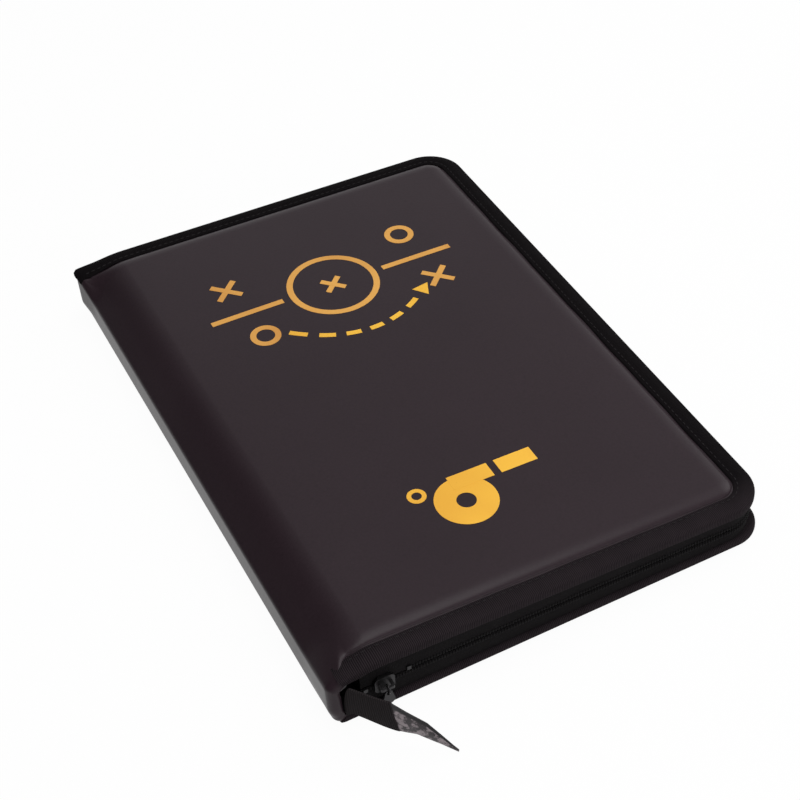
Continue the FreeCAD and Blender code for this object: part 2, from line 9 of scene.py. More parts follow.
import bmesh
import bpy
import numpy as np
from mathutils import Matrix, Vector


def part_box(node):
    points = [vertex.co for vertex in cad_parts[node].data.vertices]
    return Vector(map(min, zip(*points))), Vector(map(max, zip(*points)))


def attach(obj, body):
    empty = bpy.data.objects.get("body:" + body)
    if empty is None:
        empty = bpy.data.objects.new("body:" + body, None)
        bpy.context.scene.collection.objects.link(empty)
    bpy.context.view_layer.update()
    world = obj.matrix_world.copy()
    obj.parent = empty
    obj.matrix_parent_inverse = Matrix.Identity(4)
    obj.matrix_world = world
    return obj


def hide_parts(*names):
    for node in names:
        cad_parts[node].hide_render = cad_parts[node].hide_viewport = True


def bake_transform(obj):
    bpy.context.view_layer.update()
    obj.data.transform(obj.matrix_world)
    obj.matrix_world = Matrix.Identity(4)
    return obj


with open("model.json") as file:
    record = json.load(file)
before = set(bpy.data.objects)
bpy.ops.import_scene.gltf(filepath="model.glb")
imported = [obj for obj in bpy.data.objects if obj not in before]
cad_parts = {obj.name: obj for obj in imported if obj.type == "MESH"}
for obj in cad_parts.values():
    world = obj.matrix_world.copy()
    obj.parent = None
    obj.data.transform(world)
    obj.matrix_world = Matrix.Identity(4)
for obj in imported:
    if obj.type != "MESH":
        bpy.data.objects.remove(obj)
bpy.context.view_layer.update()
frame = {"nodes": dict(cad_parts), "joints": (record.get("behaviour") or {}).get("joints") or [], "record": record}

MM = 0.001
JOINTS = {joint["name"]: joint for joint in frame["joints"]}


def node_box(node):
    """Lowest and highest corner of a node, in millimetres."""
    low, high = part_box(node)
    return np.array(low) / MM, np.array(high) / MM


def joint_place(name):
    """Place of a joint's axis, in millimetres."""
    return np.array(JOINTS[name]["pos_m"]) / MM


# Camera, fitted to the photograph
LENS = 78.61
VIEW_AZIMUTH = -23.36
VIEW_ELEVATION = 43.38
VIEW_ROLL = -5.03
VIEW_DISTANCE = 937.0
VIEW_TARGET = (4.84, 8.53, 0.0)

# Case
SPINE_X = node_box("spine_skin")[0][0]
FORE_X = node_box("back_binding")[1][0]
HALF_LENGTH = node_box("spine_skin")[1][1]
SPINE_FOOT = node_box("spine_skin")[0][2]
SPINE_HEAD = node_box("spine_skin")[1][2]
CASE_WIDTH = FORE_X - SPINE_X
FRONT_CORNER = 21.0
BACK_CORNER = 17.0
TILT = math.radians(JOINTS["cover_fold"]["range_deg"][1] - 90)
FRONT_AXIS = joint_place("cover_fold")
FRONT_AXIS_DEPTH = FRONT_AXIS[0] - SPINE_X
BACK_START = node_box("back_board")[0][0] - SPINE_X
FRONT_START = node_box("front_board")[0][0] - SPINE_X

# Layers
LEATHER = 1.2
FRONT_PAD = 3.4
BACK_PAD = 1.9
BOARD = 1.8
LINING = 0.6
SHEET = 1.1
FRONT_BASE = LEATHER + FRONT_PAD + BOARD  # depth of the boards' inner faces
BACK_BASE = LEATHER + BACK_PAD + BOARD

# Leather
SPINE_MIDDLE = (SPINE_FOOT + SPINE_HEAD) / 2
WALL_TOP = 20.5          # standing height of the spine before it leans over
WALL_CREASE = 1.2        # softness of that crease
WALL_LEAN = (0.78, 0.63)  # direction in which it leans over
WALL_PULL = (9.0, 11.0)  # how far the curve keeps to that direction, and to the panel's
SLOPE_END = 27.0         # where the front leather lies flat, from the spine's outer face
PANEL_FLAT = 1.0
ROLL_WIDTH = 8.0         # roll of the padded panel down to its seam
FRONT_DIP = (2.2, 2.6, 3.2)  # depth of that seam at the near side, the fore-edge and the far side
BACK_DIP = (1.9, 1.9, 1.9)
SEAM_THIN = 0.12         # share of the dip that is left where the spine's fold begins
SEAM_RUN = 22.0          # length over which the dip grows from there
FOAM_EASE = 1.8          # the foam stops short of the seam
GROOVE = 0.9             # gap between that roll and the binding
ROLL_STEPS = 12
PANEL_CROWN = 0.7
RIPPLE = 0.10            # unevenness of foam under leather, as a share of the crown
RIPPLE_ALONG = (23.0, 41.0)
RIPPLE_ACROSS = (31.0, 53.0)
END_ROLL = 4.2           # leather turned round the ends of the spine
END_TURN = 115.0         # how far round it goes
END_PROUD = -0.6
MERGE = 9.0              # length over which the turned end becomes the panel's seam
FAR_PEAK = (20.0, 2.0)   # the ends of the spine stand up between these, from each end
NEAR_PEAK = (34.0, 2.0)
NEAR_SHARE = 0.6         # how much the near end stands up, against the far end
PEAK_WALL = 30.0
PEAK_BULGE = 2.4         # how far it stands out there
PEAK_LEAN = (0.80, 0.60)
PEAK_PULL = (2.0, 14.0)
EVEN_RUN = 7.0           # deep layers follow the bends averaged this far each way
EVEN_SAMPLES = 15
DEEP_LAYER = 3.0         # from this depth on
NEAR_TUCK = 0.6          # the near end of the spine is drawn in towards the zip
TUCK_LENGTH = 15.0
TUCK_MOST = 1.1
FORE_MARGIN = 4.0        # the covers' outlines run this far past the fore-edge
BEND_EASE = 1.0          # the turn under the spine starts this far below the spine's board
CIRCLE_HANDLE = 0.5523   # handle of a quarter circle, as a share of its radius
WALL_POINTS = 8          # points of the outlines: wall, crease, leaning fold and flat
CREASE_POINTS = 8
SLOPE_POINTS = 40
FLAT_POINTS = 110
BACK_WALL_POINTS = 10
BEND_POINTS = 16
CREASE_POINT = 12        # outline point in the crease
FOLD_POINT = 40          # outline point well up the fold
PANEL_GRID = (40, 61)    # columns on the flat of the panel, rows
CORNER_STEPS = 10
FOAM_GRID = (44, 56)
FOAM_FLOOR = 0.05        # hair between foam and board
FOAM_RIM = 0.3           # thickness at its edges
FOAM_SLACK = 0.5         # thinner than its room by this

# Binding
BINDING_WIDTH = (10.6, 10.4, 9.4)  # near side, fore-edge and far side
RIBBON = 0.9
BINDING_LIP = 9.0
LIP_START = 1.5           # the ribbon's inner half starts narrow at the spine
LIP_RUN = 16.0
FRONT_BINDING_FROM = (8.0, 0.5)  # past the spine's outer face, at the near and the far end
BACK_BINDING_FROM = (3.4, 3.4)
NEAR_LIGHT_WIDTH = 24.0         # band along the near side where the ribbon is painted lighter, as painted light from the front
STITCH_INSET = 2.2        # in from the binding's inner edge
STITCH_PITCH = 3.4
STITCH_LENGTH = 2.5
STITCH_WIDTH = 0.55
FOLD_ROUND = 2.0
VALLEY = ((0.05, -0.7), (-0.35, -0.25), (-1.1, -0.02), (-2.2, -0.06), (-3.6, 0.3))
RIBBON_SWAY = ((0.12, 6.1, 0.0), (0.10, 10.7, 1.0))  # size, run and start of its waves
RIBBON_PUFF = ((0.10, 4.3, 0.5), (0.06, 2.1, 0.0))

# Inside
STIFFENER_END = 36.0
LINING_INSET = 9.2
LINING_HALF = HALF_LENGTH - LINING_INSET
GUTTER_HALF = HALF_LENGTH - 3.6
LINING_CORNER = 12.0
LINING_LAP = 2.6
LINING_GAP = 0.02         # paste under the lining
GUTTER_WALL = -(LEATHER + 2.2 + LINING / 2)  # depths of the lining from the spine over each fold
FRONT_GUTTER = (GUTTER_WALL, GUTTER_WALL, -2.4, -2.2, -3.4, -6.7)
BACK_GUTTER = (GUTTER_WALL, GUTTER_WALL, -4.0, -5.3, -5.85)
GUTTER_WAVE = (0.12, 9.0)
FRONT_SHEET_DEPTH = FRONT_BASE + LINING + SHEET

# Zip
BACK_EDGE_TOP = node_box("back_binding")[1][2]
FRONT_EDGE_FOOT = FRONT_BASE + RIBBON
ZIP_CORNER = 22.0
TAPE = 0.8
TAPE_INSET = 2.5
COIL_INSET = 2.3
COIL_RISE = 1.6
COIL_PITCH = 1.5
COIL_HEIGHT = 2.2
COIL_WIDTH = 2.3
COIL_FILL = 0.86         # length of one turn, as a share of the pitch
CHAIN_GAP = 0.4          # each tape stops this short of the middle of the chain
TAPE_FOOT = 0.1          # and starts this far off its cover's board
TAPE_BOW = 0.2
TAPE_WAVE = (0.08, 5.0)
TAIL_TURN_X = -107.3
TAIL_TURN_Y = -0.2 - HALF_LENGTH
TAIL_TURN = 3.4
TAIL_ROOT_X = -97.5
TAIL_BEARING = -45.0
TAIL_LENGTH = 21.2
TAIL_SLANT = 3.1         # the strap's end is cut at a slant
TAIL_IN_LOW = 6.8
TAIL_IN_HIGH = 11.8
TAIL_FLOOR = (11.8, 6.1)   # edges of the strap where it leaves the case and at its seam
TAIL_TOP = (29.0, 25.6)
TAIL_LEAVE = 80.0        # how far round its turn the strap leaves the case
TAIL_WIDEN = 5.0         # its lower edge drops over this length from there
TAIL_RISE = 6.0          # its upper edge rises over this one
TAIL_EARLY = 2.0         # and starts this much sooner
STRAP = 1.3
STRAP_STATIONS = 44
TIP_LENGTH = 28.6
TIP_LAP = 1.0            # the film starts this far before the strap's seam
TIP_SEAM = 1.7           # thickness there
TIP_THINNER = 0.8        # and how much thinner it is further on
TIP_TOP_AT = (0, 0.26, 0.54, 0.75, 0.92, 1)  # heights of its upper edge, at shares of its length
TIP_TOP = (25.4, 20.9, 16.7, 9.9, 4.1, 1.7)
TIP_FOOT_AT = (0, 0.09, 0.34, 0.74, 1)
TIP_FOOT = (6.1, 6.2, 7.2, 3.8, 0.7)

# Foil, counters and pen loops
FOIL = 0.09
FOIL_STEP = 0.02          # strokes that cross lie this much over each other
COUNTER_GAP = 0.03        # hair between a counter and the sheet
COUNTER_HEIGHT = 3.2
COUNTER_DISH = 0.3
FIGURE_HEIGHT = 7.0
FIGURE_RISE = 0.04
MAGNET_POCKET = 2.05
MAGNET_RADIUS = 6.05
BALL_MAGNET_RADIUS = 3.05
LOOP_WIDTH = 12.0
LOOP_INNER = 4.85
LOOP_BAND = 0.8

# Light
FLOOR_REACH = 6.0        # metres
FLOOR_DROP = -0.0002
FLOOR_WHITE = 0.96
WORLD_FILL = 0.35
DIM_SIDE = 0.1           # what shines back from the studio's left side
SOFTBOXES = (            # place and size in metres, power in watts
    ("overhead_softbox", (0.10, -0.10, 1.15), (1.0, 0.5), 7.0),
    ("side_softbox", (1.3, 0.2, 0.9), (0.8, 0.8), 6.0),
    ("front_softbox", (0.2, -1.3, 0.5), (1.0, 0.5), 5.0),
)


# Shader sums

def add_node(tree, kind, settings=None, inputs=None):
    """Adds one node: its settings first, then values or links for its sockets."""
    made = tree.nodes.new(kind)
    for key, value in (settings or {}).items():
        setattr(made, key, value)
    for key, value in (inputs or {}).items():
        if isinstance(value, bpy.types.NodeSocket):
            tree.links.new(value, made.inputs[key])
        else:
            made.inputs[key].default_value = value
    return made


class Wire:
    """A shader socket that joins in Python sums: each operator adds its Math node."""

    def __init__(self, tree, socket=None):
        self.tree = tree
        self.socket = socket

    def node(self, kind, settings=None, inputs=None, output=0):
        """Adds one node and gives the wire of one of its outputs."""
        sockets = {key: value.socket if isinstance(value, Wire) else value
                   for key, value in (inputs or {}).items()}
        made = add_node(self.tree, kind, settings, sockets)
        return Wire(self.tree, made.outputs[output] if len(made.outputs) else None)

    def math(self, operation, *others):
        """Adds a Math node over this value and others."""
        inputs = dict(enumerate((self,) + others))
        return self.node("ShaderNodeMath", {"operation": operation}, inputs)

    def __add__(self, other):
        return self.math("ADD", other)

    __radd__ = __add__

    def __sub__(self, other):
        return self.math("SUBTRACT", other)

    def __rsub__(self, other):
        return self.node("ShaderNodeMath", {"operation": "SUBTRACT"}, {0: other, 1: self})

    def __mul__(self, other):
        return self.math("MULTIPLY", other)

    __rmul__ = __mul__

    def __truediv__(self, other):
        return self.math("DIVIDE", other)

    def __gt__(self, other):
        return self.math("GREATER_THAN", other)

    def __abs__(self):
        return self.math("ABSOLUTE")

    def fraction(self):
        return self.math("FRACT")

    def sine(self):
        return self.math("SINE")

    def wave(self, pitch):
        """Ridges of that pitch, from 0 to 1."""
        return (self * (2 * math.pi / pitch)).sine() * 0.5 + 0.5

    def most(self, other):
        return self.math("MAXIMUM", other)

    def step(self, low, high):
        """Smooth rise from 0 at low to 1 at high."""
        settings = {"interpolation_type": "SMOOTHSTEP"}
        return self.node("ShaderNodeMapRange", settings, {0: self, 1: low, 2: high})

    def length(self, other):
        """Distance of a point from the origin, from its two parts."""
        return (self * self + other * other).math("SQRT")

    def mix(self, first, second):
        """Colour between two, this value being the share of the second."""
        settings = {"data_type": "RGBA"}
        return self.node("ShaderNodeMix", settings, {0: self, 6: first, 7: second}, output=2)

    def parts(self):
        """The X, Y and Z of a vector."""
        split = self.node("ShaderNodeSeparateXYZ", None, {0: self})
        outputs = split.socket.node.outputs
        return [Wire(self.tree, outputs[name]) for name in "XYZ"]


def rgb(red, green, blue):
    return (red, green, blue, 1.0)


def new_material(name):
    material = bpy.data.materials.new(name)
    material.use_nodes = True
    material.node_tree.nodes.clear()
    return material, Wire(material.node_tree)


def finish_material(paint, sockets, bump, bump_depth, bump_strength=1.0):
    """Principled surface with these sockets, and a bump of that depth in millimetres."""
    heights = {"Height": bump, "Distance": bump_depth * MM, "Strength": bump_strength}
    sockets = dict(sockets, Normal=paint.node("ShaderNodeBump", None, heights))
    surface = paint.node("ShaderNodeBsdfPrincipled", None, sockets)
    paint.node("ShaderNodeOutputMaterial", None, {"Surface": surface})


def object_place(paint):
    return paint.node("ShaderNodeTexCoord", None, None, "Object")


def ribbon_place(paint):
    """Along and across a ribbon, in metres, from its own UV map."""
    return paint.node("ShaderNodeUVMap", {"uv_map": "ribbon"}).parts()[:2]


def noise(paint, place, size, detail=2.0, roughness=0.5):
    """Cloudy value whose patches are about that many millimetres across."""
    inputs = {"Vector": place, "Scale": 1 / (size * MM), "Detail": detail, "Roughness": roughness}
    return paint.node("ShaderNodeTexNoise", None, inputs)


def cells(paint, place, size):
    """Rounded grains about that many millimetres across."""
    inputs = {"Vector": place, "Scale": 1 / (size * MM)}
    return paint.node("ShaderNodeTexVoronoi", {"feature": "SMOOTH_F1"}, inputs)


# Materials

def leather_material():
    """Charcoal leather cloth with a fine grain and a soft, slightly uneven shine."""
    material, paint = new_material("charcoal_leather")
    place = object_place(paint)
    broad = noise(paint, place, 70, 3.0)
    fine = noise(paint, place, 1.6, 4.0, 0.6)
    grain = cells(paint, place, 1.1)
    colour = broad.mix(rgb(0.0190, 0.0110, 0.0148), rgb(0.0260, 0.0160, 0.0208))
    colour = (grain * 0.5).mix(colour, rgb(0.012, 0.007, 0.0094))
    roughness = 0.28 + broad * 0.06 + fine * 0.06
    sockets = {"Base Color": colour, "Roughness": roughness, "Specular IOR Level": 0.13}
    finish_material(paint, sockets, grain * 0.7 + fine * 0.5, 0.10, 0.25)
    return material


def ribbon_material(name, dark, light, rib, roughness, shaded_share=1.0):
    """Woven ribbon with cross ribs and a fine warp, laid along the piece's own UV map.

    The near side is painted lighter, as painted light from the front; elsewhere painted shade keeps only that
    share of its light threads.
    """
    material, paint = new_material(name)
    along, across = ribbon_place(paint)
    place = object_place(paint)
    ribs = along.wave(rib * MM)
    warp = across.wave(0.6 * rib * MM)
    wear = noise(paint, place, 14, 3.0)
    weave = ribs * (0.7 + warp * 0.3)
    # painted light and shade: the band along the near side is lighter, as lit from the front, and the rest of the
    # ribbon darker
    near_light = 1 - place.parts()[1].step(-HALF_LENGTH * MM, (NEAR_LIGHT_WIDTH - HALF_LENGTH) * MM)
    threads = (weave * 0.8 + wear * 0.3) * (shaded_share + near_light * (1 - shaded_share))
    colour = threads.mix(dark, light)
    finish_material(paint, {"Base Color": colour, "Roughness": roughness, "Specular IOR Level": 0.05},
                    weave + wear * 0.5, 0.16)
    return material


def tape_material(name, dark, light):
    """Herringbone tape, woven up the wall and along it."""
    material, paint = new_material(name)
    place = object_place(paint)
    x, y, z = place.parts()
    zigzag = abs((z / (3.2 * MM)).fraction() - 0.5) * (2.2 * MM)
    twill = (x + y + zigzag).wave(0.75 * MM)
    wear = noise(paint, place, 9, 3.0)
    colour = (twill * 0.7 + wear * 0.4).mix(dark, light)
    finish_material(paint, {"Base Color": colour, "Roughness": 0.88, "Specular IOR Level": 0.08},
                    twill + wear * 0.4, 0.14)
    return material


def cloth_material(name, dark, light, pitch):
    """Plain weave on the flat of a cover."""
    material, paint = new_material(name)
    place = object_place(paint)
    x, y = place.parts()[:2]
    over = x.wave(pitch * MM)
    under = y.wave(pitch * MM)
    weave = over * under + (1 - over) * (1 - under)
    wear = noise(paint, place, 25, 3.0)
    colour = (weave * 0.7 + wear * 0.4).mix(dark, light)
    finish_material(paint, {"Base Color": colour, "Roughness": 0.9, "Specular IOR Level": 0.2},
                    weave, 0.10)
    return material


def metal_material(name, colour, roughness, scratch=0.4):
    """Metal with cloudy tarnish and fine scratches."""
    material, paint = new_material(name)
    place = object_place(paint)
    cloud = noise(paint, place, 6, 3.0)
    fine = noise(paint, place, 0.5, 3.0, 0.7)
    shade = (cloud * 0.5 + fine * 0.2).mix(colour, rgb(*[0.6 * part for part in colour[:3]]))
    finish_material(paint, {"Base Color": shade, "Metallic": 1.0, "Roughness": roughness + fine * 0.15},
                    fine, 0.02, scratch)
    return material


def plastic_material(name, colour, roughness=0.35, texture=0.4, gloss=0.5):
    """Moulded plastic with a faint orange-peel skin and slightly uneven gloss."""
    material, paint = new_material(name)
    place = object_place(paint)
    cloud = noise(paint, place, 12, 3.0)
    peel = noise(paint, place, 0.7, 2.0)
    shade = (cloud * 0.6).mix(colour, rgb(*[0.78 * part for part in colour[:3]]))
    sockets = {"Base Color": shade, "Roughness": roughness + cloud * 0.1, "Specular IOR Level": gloss}
    finish_material(paint, sockets, peel, 0.03, texture)
    return material


def rough_material(name, dark, light, size, roughness=0.95, depth=0.2):
    """Felt, foam, grey board and the like: mottled and matt."""
    material, paint = new_material(name)
    place = object_place(paint)
    speck = noise(paint, place, size, 5.0, 0.7)
    colour = speck.step(0.3, 0.7).mix(dark, light)
    finish_material(paint, {"Base Color": colour, "Roughness": roughness}, speck, depth)
    return material


def foil_material(name, deep, bright):
    """Hot-stamped foil: warm gold that varies a little and thins at speckles."""
    material, paint = new_material(name)
    place = object_place(paint)
    sweep = noise(paint, place, 55, 2.0)
    speck = noise(paint, place, 0.8, 3.0, 0.7)
    colour = sweep.step(0.3, 0.7).mix(deep, bright)
    colour = (speck.step(0.62, 0.8) * 0.4).mix(colour, rgb(*[0.55 * part for part in deep[:3]]))
    finish_material(paint, {"Base Color": colour, "Metallic": 0.25, "Roughness": 0.4 + speck * 0.2},
                    speck, 0.03, 0.5)
    return material


def film_material():
    """Stiffened end of the zip tape: dark film with light grey patches painted on as reflections of its crinkled
    gloss, dark at its rim.
    """
    material, paint = new_material("stiffened_film")
    across = ribbon_place(paint)[1]
    place = object_place(paint)
    crinkles_and_glints = noise(paint, place, 3.4, 4.0, 0.65)
    fine = noise(paint, place, 0.7, 3.0)
    # painted reflection: the light grey patches stand for the crinkled gloss mirroring its bright surroundings;
    # the same noise also roughens and bumps the film
    glint_grey = crinkles_and_glints.step(0.44, 0.60).mix(rgb(0.028, 0.022, 0.025), rgb(0.25, 0.212, 0.224))
    rim = across.step(0.80, 0.88)
    colour = rim.mix(glint_grey, rgb(0.008, 0.007, 0.008))
    sockets = {"Base Color": colour, "Roughness": 0.35 + crinkles_and_glints * 0.3, "Specular IOR Level": 0.25}
    finish_material(paint, sockets, crinkles_and_glints + fine * 0.4, 0.25)
    return material


# Markings of the printed half pitch
PITCH_HALFWAY = 27.0
PITCH_GOAL = 216.0
PITCH_SIDE = 142.0
PITCH_LINE = 1.5
GOAL_AREA = (20.0, 38.5)
PENALTY_AREA = (60.0, 85.0)
PENALTY_SPOT = 40.0
CIRCLE_RADIUS = 33.0
CORNER_ARC = 5.0
SPOT_RADIUS = 1.4
PRINT_BLUR = 0.3
MOWING = 31.5


def pitch_material():
    """Printed half pitch: mown stripes and white lines, the halfway line at the spine."""
    material, paint = new_material("printed_pitch")
    place = object_place(paint)
    x, y = place.parts()[:2]
    along = x / MM - SPINE_X
    across = abs(y / MM)
    half_line = PITCH_LINE / 2

    def near(value, target):
        return 1 - abs(value - target).step(half_line, half_line + PRINT_BLUR)

    def inside(value, limit):
        return 1 - value.step(limit + half_line, limit + half_line + PRINT_BLUR)

    def beyond(value, limit):
        return value.step(limit - half_line - PRINT_BLUR, limit - half_line)

    on_field = inside(across, PITCH_SIDE) * beyond(along, PITCH_HALFWAY) * inside(along, PITCH_GOAL)
    lines = near(across, PITCH_SIDE).most(near(along, PITCH_HALFWAY)).most(near(along, PITCH_GOAL))
    for depth, width in (GOAL_AREA, PENALTY_AREA):
        front = PITCH_GOAL - depth
        lines = lines.most(near(across, width) * beyond(along, front))
        lines = lines.most(near(along, front) * inside(across, width))
    spot = (along - (PITCH_GOAL - PENALTY_SPOT)).length(across)
    arc = near(spot, CIRCLE_RADIUS) * inside(along, PITCH_GOAL - PENALTY_AREA[0])
    dot = 1 - spot.step(SPOT_RADIUS, SPOT_RADIUS + PRINT_BLUR)
    circle = near((along - PITCH_HALFWAY).length(across), CIRCLE_RADIUS)
    corner = near((along - PITCH_GOAL).length(across - PITCH_SIDE), CORNER_ARC)
    lines = lines.most(arc).most(dot).most(circle).most(corner) * on_field
    mown = ((along - PITCH_HALFWAY) / (2 * MOWING)).fraction() > 0.5
    turf = noise(paint, place, 1.2, 4.0, 0.7)
    green = (mown * 0.75 + turf * 0.3).mix(rgb(0.018, 0.135, 0.030), rgb(0.040, 0.230, 0.050))
    colour = lines.mix(green, rgb(0.82, 0.84, 0.80))
    smear = noise(paint, place, 40, 3.0)
    finish_material(paint, {"Base Color": colour, "Roughness": 0.22 + smear * 0.2}, smear, 0.02)
    return material


def make_materials():
    """Every finish, by the name of its slot or of its use in the scene."""
    return {
        "leather": leather_material(),
        "binding": ribbon_material("binding_ribbon", rgb(0.0022, 0.0017, 0.0020), rgb(0.0310, 0.0236, 0.0276),
                                   0.9, 0.85, 0.10),
        "elastic": tape_material("loop_elastic", rgb(0.010, 0.010, 0.011), rgb(0.030, 0.030, 0.032)),
        "zip_tape": tape_material("zip_tape_weave", rgb(0.0024, 0.0020, 0.0023), rgb(0.0080, 0.0068, 0.0074)),
        "tail": ribbon_material("tail_weave", rgb(0.007, 0.006, 0.0065), rgb(0.024, 0.020, 0.021), 1.1, 0.8),
        "zip_coil": plastic_material("zip_coil_nylon", rgb(0.0055, 0.0048, 0.0052), 0.7, 0.4, 0.12),
        "zip_metal": metal_material("zip_gunmetal", rgb(0.045, 0.043, 0.045), 0.36),
        "tail_film": film_material(),
        "thread": ribbon_material("dark_thread", rgb(0.010, 0.009, 0.010), rgb(0.03, 0.027, 0.028), 0.5, 0.7),
        "lining": cloth_material("lining_weave", rgb(0.014, 0.014, 0.016), rgb(0.036, 0.036, 0.040), 0.8),
        "steel": metal_material("sheet_steel", rgb(0.50, 0.51, 0.52), 0.35, 0.2),
        "pitch": pitch_material(),
        "foam": rough_material("pad_foam", rgb(0.30, 0.30, 0.28), rgb(0.46, 0.46, 0.43), 1.0),
        "board": rough_material("grey_board", rgb(0.045, 0.040, 0.036), rgb(0.085, 0.076, 0.068), 0.8),
        "felt": rough_material("pressed_felt", rgb(0.02, 0.02, 0.022), rgb(0.07, 0.07, 0.075), 0.5),
        "magnet": rough_material("ferrite", rgb(0.02, 0.02, 0.02), rgb(0.05, 0.05, 0.05), 0.6, 0.6, 0.05),
        "pen_plastic": plastic_material("pen_black_plastic", rgb(0.012, 0.012, 0.014), 0.28),
        "pen_band": plastic_material("pen_white_plastic", rgb(0.62, 0.62, 0.60), 0.35),
        "disc_home": plastic_material("red_disc_plastic", rgb(0.52, 0.022, 0.022), 0.3),
        "disc_away": plastic_material("blue_disc_plastic", rgb(0.018, 0.07, 0.42), 0.3),
        "disc_ball": plastic_material("white_disc_plastic", rgb(0.74, 0.74, 0.71), 0.3),
        "number": plastic_material("white_number_print", rgb(0.78, 0.78, 0.75), 0.45),
        "foil": foil_material("gold_foil", rgb(0.52, 0.225, 0.035), rgb(0.68, 0.34, 0.06)),
        "bright_foil": foil_material("bright_gold_foil", rgb(0.72, 0.36, 0.02), rgb(0.84, 0.47, 0.03)),
    }


MATERIALS = make_materials()


# Mesh helpers

def new_piece(name, points, faces, materials, uv=None, smooth=40.0, face_materials=None):
    """Mesh object from points in millimetres, shaded smooth up to an angle."""
    mesh = bpy.data.meshes.new(name)
    mesh.from_pydata([tuple(point) for point in np.asarray(points) * MM], [], faces)
    for material in materials:
        mesh.materials.append(MATERIALS[material])
    if face_materials is not None:
        mesh.polygons.foreach_set("material_index", face_materials)
    if uv is not None:
        layer = mesh.uv_layers.new(name="ribbon")
        for loop in mesh.loops:
            layer.data[loop.index].uv = uv[loop.vertex_index]
    piece = bpy.data.objects.new(name, mesh)
    bpy.context.scene.collection.objects.link(piece)
    shade(piece, smooth)
    return piece


def shade(piece, angle):
    """Smooth shading, with sharp edges from that angle on."""
    mesh = piece.data
    mesh.polygons.foreach_set("use_smooth", [True] * len(mesh.polygons))
    mesh.set_sharp_from_angle(angle=math.radians(angle))
    mesh.update()


def outward_normals(piece):
    """Merges doubles and turns a closed mesh's faces outwards."""
    work = bmesh.new()
    work.from_mesh(piece.data)
    bmesh.ops.remove_doubles(work, verts=work.verts, dist=1e-6)
    bmesh.ops.recalc_face_normals(work, faces=work.faces)
    work.to_mesh(piece.data)
    work.free()


def apply_modifiers(piece, smooth):
    """Turns the modified shape into the piece's own mesh."""
    graph = bpy.context.evaluated_depsgraph_get()
    old = piece.data
    made = bpy.data.meshes.new_from_object(piece.evaluated_get(graph))
    piece.modifiers.clear()
    piece.data = made
    made.name = old.name
    bpy.data.meshes.remove(old)
    shade(piece, smooth)


def grid_faces(index):
    """Quads over a table of point numbers; a collapsed side gives a triangle."""
    faces = []
    for row in range(index.shape[0] - 1):
        for column in range(index.shape[1] - 1):
            loop = (index[row, column], index[row + 1, column],
                    index[row + 1, column + 1], index[row, column + 1])
            kept = list(dict.fromkeys(int(point) for point in loop))
            if len(kept) > 2:
                faces.append(kept)
    return faces


def rim_of(index):
    """Point numbers round the outside of a table, back to the first."""
    return np.concatenate([index[0, :-1], index[:-1, -1], index[-1, :0:-1], index[:0:-1, 0], index[0, :1]])


def dress(piece, body, slot, *nodes):
    """Rides the piece on a body and hides the nodes that it stands for; the slot is not used."""
    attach(piece, body)
    if nodes:
        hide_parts(*nodes)
    return piece


def smooth_rise(value):
    """Smooth rise from 0 at 0 to 1 at 1, level outside."""
    value = np.clip(value, 0.0, 1.0)
    return value * value * (3 - 2 * value)


# Covers laid out flat

class Wrap:
    """Lays flat pattern points (along, across, height) on a cover's bent outer face.

    A second outline, point for point with the first, is the shape at the far end of the spine.
    """

    def __init__(self, outline, outward, end_outline=None):
        self.outline = outline
        self.end_outline = outline if end_outline is None else end_outline
        self.along = run_lengths(outline)
        self.normal = self.normals(self.outline, outward)
        self.end_normal = self.normals(self.end_outline, outward)
        self.deep_normal = self.evened(self.normal)
        self.deep_end_normal = self.evened(self.end_normal)
        self.fold = self.along[FOLD_POINT]
        self.crease = self.along[CREASE_POINT]

    @staticmethod
    def normals(points, outward):
        """Directions out of the case, square to the outline."""
        tangent = np.gradient(points, axis=0)
        tangent /= np.linalg.norm(tangent, axis=1, keepdims=True)
        return outward * np.stack([-tangent[:, 1], tangent[:, 0]], axis=1)

    def evened(self, normal):
        """Normals averaged along the outline, for layers deep inside a tight bend."""
        spread = np.linspace(-EVEN_RUN, EVEN_RUN, EVEN_SAMPLES)
        places = self.along[:, None] + spread
        parts = [np.interp(places, self.along, normal[:, axis]).mean(axis=1) for axis in (0, 1)]
        mean = np.stack(parts, axis=1)
        return mean / np.linalg.norm(mean, axis=1, keepdims=True)

    def __call__(self, along, across, height):
        along, across, height = np.broadcast_arrays(along, across, height)
        peak = smooth_rise((across - HALF_LENGTH + FAR_PEAK[0]) / (FAR_PEAK[0] - FAR_PEAK[1]))
        near = smooth_rise((NEAR_PEAK[0] - HALF_LENGTH - across) / (NEAR_PEAK[0] - NEAR_PEAK[1]))
        peak = peak + NEAR_SHARE * near

        def follow(middle, end):
            return [(1 - peak) * np.interp(along, self.along, middle[:, axis])
                    + peak * np.interp(along, self.along, end[:, axis]) for axis in (0, 1)]

        x, z = follow(self.outline, self.end_outline)
        deep = smooth_rise(-height / DEEP_LAYER)
        normal_x, normal_z = [(1 - deep) * outer + deep * inner
                              for outer, inner in zip(follow(self.normal, self.end_normal),
                                                      follow(self.deep_normal, self.deep_end_normal))]
        size = np.hypot(normal_x, normal_z)
        tuck = np.clip((TUCK_LENGTH - HALF_LENGTH - across) / TUCK_LENGTH, 0, TUCK_MOST) ** 2
        tuck = NEAR_TUCK * tuck * (1 - smooth_rise(along / self.fold))
        return np.stack([x + tuck + height * normal_x / size, across, z + height * normal_z / size], axis=-1)

    def at_x(self, x):
        """Pattern length where the outline reaches that x."""
        return float(np.interp(x, self.outline[:, 0], self.along))


